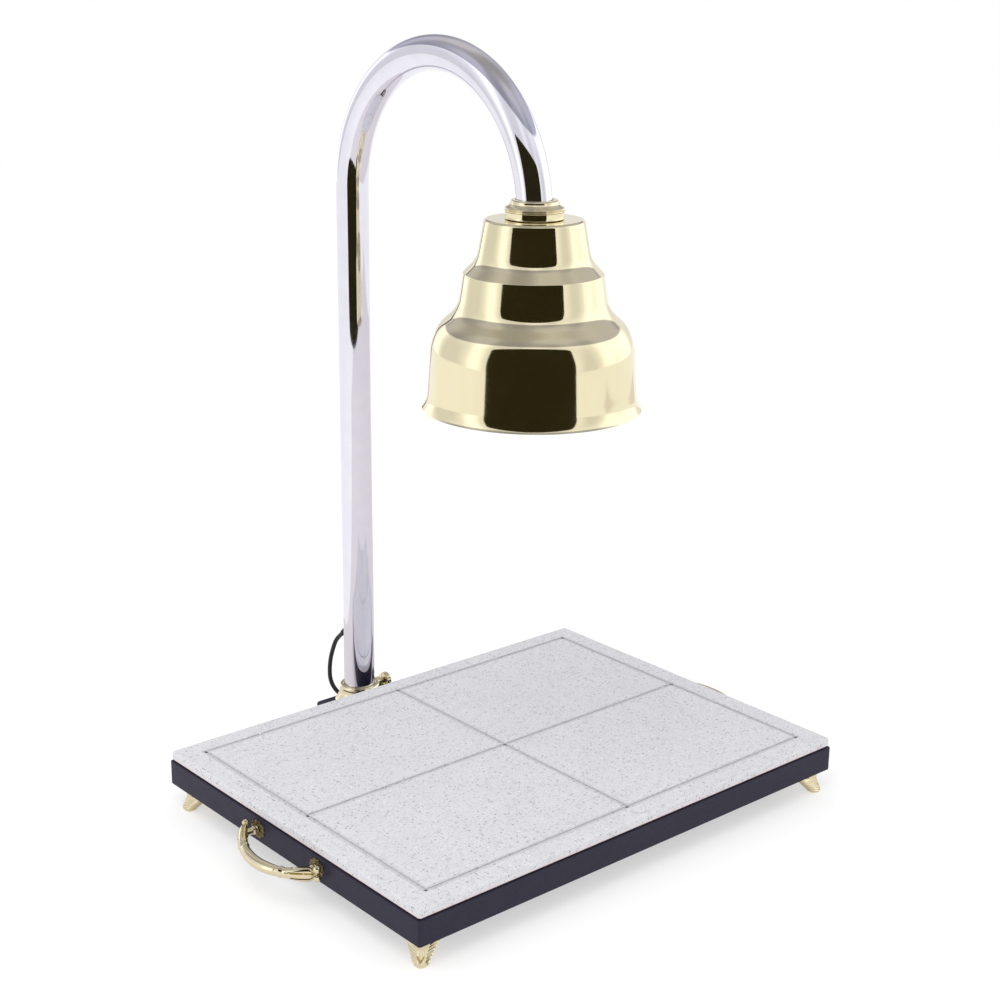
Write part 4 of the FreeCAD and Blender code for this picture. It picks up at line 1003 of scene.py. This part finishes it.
# ---- floor, light and reflections -----------------------------------------------------------
def stage_card(name, corners, colour, glow, only_glossy=True):
    mesh = bpy.data.meshes.new(name)
    mesh.from_pydata([tuple(c) for c in corners], [], [tuple(range(len(corners)))])
    card = bpy.data.objects.new(name, mesh)
    bpy.context.scene.collection.objects.link(card)
    mat = bpy.data.materials.new(name)
    mat.use_nodes = True
    shader = mat.node_tree.nodes["Principled BSDF"]
    shader.inputs["Base Color"].default_value = (*colour, 1.0)
    shader.inputs["Roughness"].default_value = 0.9
    shader.inputs["Specular IOR Level"].default_value = 0.0
    shader.inputs["Emission Color"].default_value = (*colour, 1.0)
    shader.inputs["Emission Strength"].default_value = glow
    mesh.materials.append(mat)
    if only_glossy:
        card.visible_camera = False
        card.visible_diffuse = False
        card.visible_shadow = False
        card.visible_transmission = False


def make_floor():
    reach = 6.0
    corners = [(-reach, -reach, 0.0), (reach, -reach, 0.0), (reach, reach, 0.0), (-reach, reach, 0.0)]
    stage_card("studio_floor", corners, (0.50, 0.50, 0.50), 1.05, only_glossy=False)


TENT_FRONT = Vector((-0.6546, -0.7560, 0.0))      # the tent's open side, where the camera stands
TENT_SIDE = Vector((0.7560, -0.6546, 0.0))
# The grey ceiling of the studio tent leans away from its open side.
CEILING_LEAN = math.radians(20.0)
CEILING_AXIS = Vector((0.0, 0.0, math.cos(CEILING_LEAN))) - TENT_FRONT * math.sin(CEILING_LEAN)
CEILING_STOPS = [(0.0, (1.0, 1.0, 1.0)), (0.53, (1.0, 1.0, 1.02)), (0.56, (0.40, 0.40, 0.47)),
                 (0.85, (0.43, 0.42, 0.44)), (1.0, (0.48, 0.46, 0.42))]
STRIPE_STOPS = [(0.34, (0.80, 0.80, 0.81)), (0.50, (1.0, 1.0, 1.0)), (0.64, (1.40, 1.40, 1.40))]


def make_world():
    """Plain white light, and for reflections a white tent with a grey ceiling and faint stripes."""
    world = bpy.data.worlds.new("studio")
    bpy.context.scene.world = world
    world.use_nodes = True
    nodes = world.node_tree.nodes
    links = world.node_tree.links
    background = nodes["Background"]
    place = nodes.new("ShaderNodeTexCoord").outputs["Generated"]
    overhead = nodes.new("ShaderNodeVectorMath")
    overhead.operation = "DOT_PRODUCT"
    overhead.inputs[1].default_value = CEILING_AXIS
    links.new(place, overhead.inputs[0])
    height = ramp(nodes, links, overhead.outputs["Value"], CEILING_STOPS)
    bands = noise(nodes, links, place, 1.7, 0.0, 0.5, (1.0, 1.0, 0.12))
    stripes = ramp(nodes, links, bands, STRIPE_STOPS)
    tent = mix(nodes, links, 1.0, height, stripes, "MULTIPLY")
    path = nodes.new("ShaderNodeLightPath")
    glossy = mix(nodes, links, path.outputs["Is Glossy Ray"], (1.0, 1.0, 1.0), tent)
    links.new(glossy, background.inputs["Color"])
    background.inputs["Strength"].default_value = 1.0


def make_lights():
    data = bpy.data.lights.new("softbox", "AREA")
    data.shape = "RECTANGLE"
    data.size = 1.6
    data.size_y = 1.2
    data.energy = 10.0
    light = bpy.data.objects.new("softbox", data)
    bpy.context.scene.collection.objects.link(light)
    light.location = (-1.0, -0.4, 2.0)
    aim = Vector((0.0, 0.0, 0.1)) - light.location
    light.rotation_euler = aim.to_track_quat("-Z", "Y").to_euler()
    light.visible_glossy = False


def rounded_outline(left, right, low, high, r):
    """Outline of a rounded rectangle: pairs of sideways and upward distances."""
    points = []
    centres = [(right - r, high - r), (left + r, high - r), (left + r, low + r), (right - r, low + r)]
    for start, (cx, cz) in zip((0, 90, 180, 270), centres):
        for i in range(7):
            a = math.radians(start + 15 * i)
            points.append((cx + r * math.cos(a), cz + r * math.sin(a)))
    return points


def make_dark_card():
    """Dark opening in the studio tent's front; only reflections show it."""
    centre = Vector((0.0, LAMP_Y, 0.0)) + TENT_FRONT * 0.62
    outline = rounded_outline(-0.74, 0.62, 0.30, 1.12, 0.10)
    corners = [centre + TENT_SIDE * u + Vector((0.0, 0.0, v)) for u, v in outline]
    stage_card("tent_opening", corners, (0.022, 0.018, 0.006), 0.0)


def make_grey_ground():
    """Grey ground in front and to the right of the warmer; only reflections show it."""
    outline = [(-1.6, -2.6), (2.6, -2.6), (2.6, 0.6), (-0.10, 0.6), (-1.6, -0.5)]
    corners = [(x, y, 0.0015) for x, y in outline]
    stage_card("grey_ground", corners, (0.50, 0.475, 0.48), 0.62)


make_floor()
make_world()
make_lights()
make_dark_card()
make_grey_ground()
bpy.context.scene.view_settings.view_transform = "Standard"
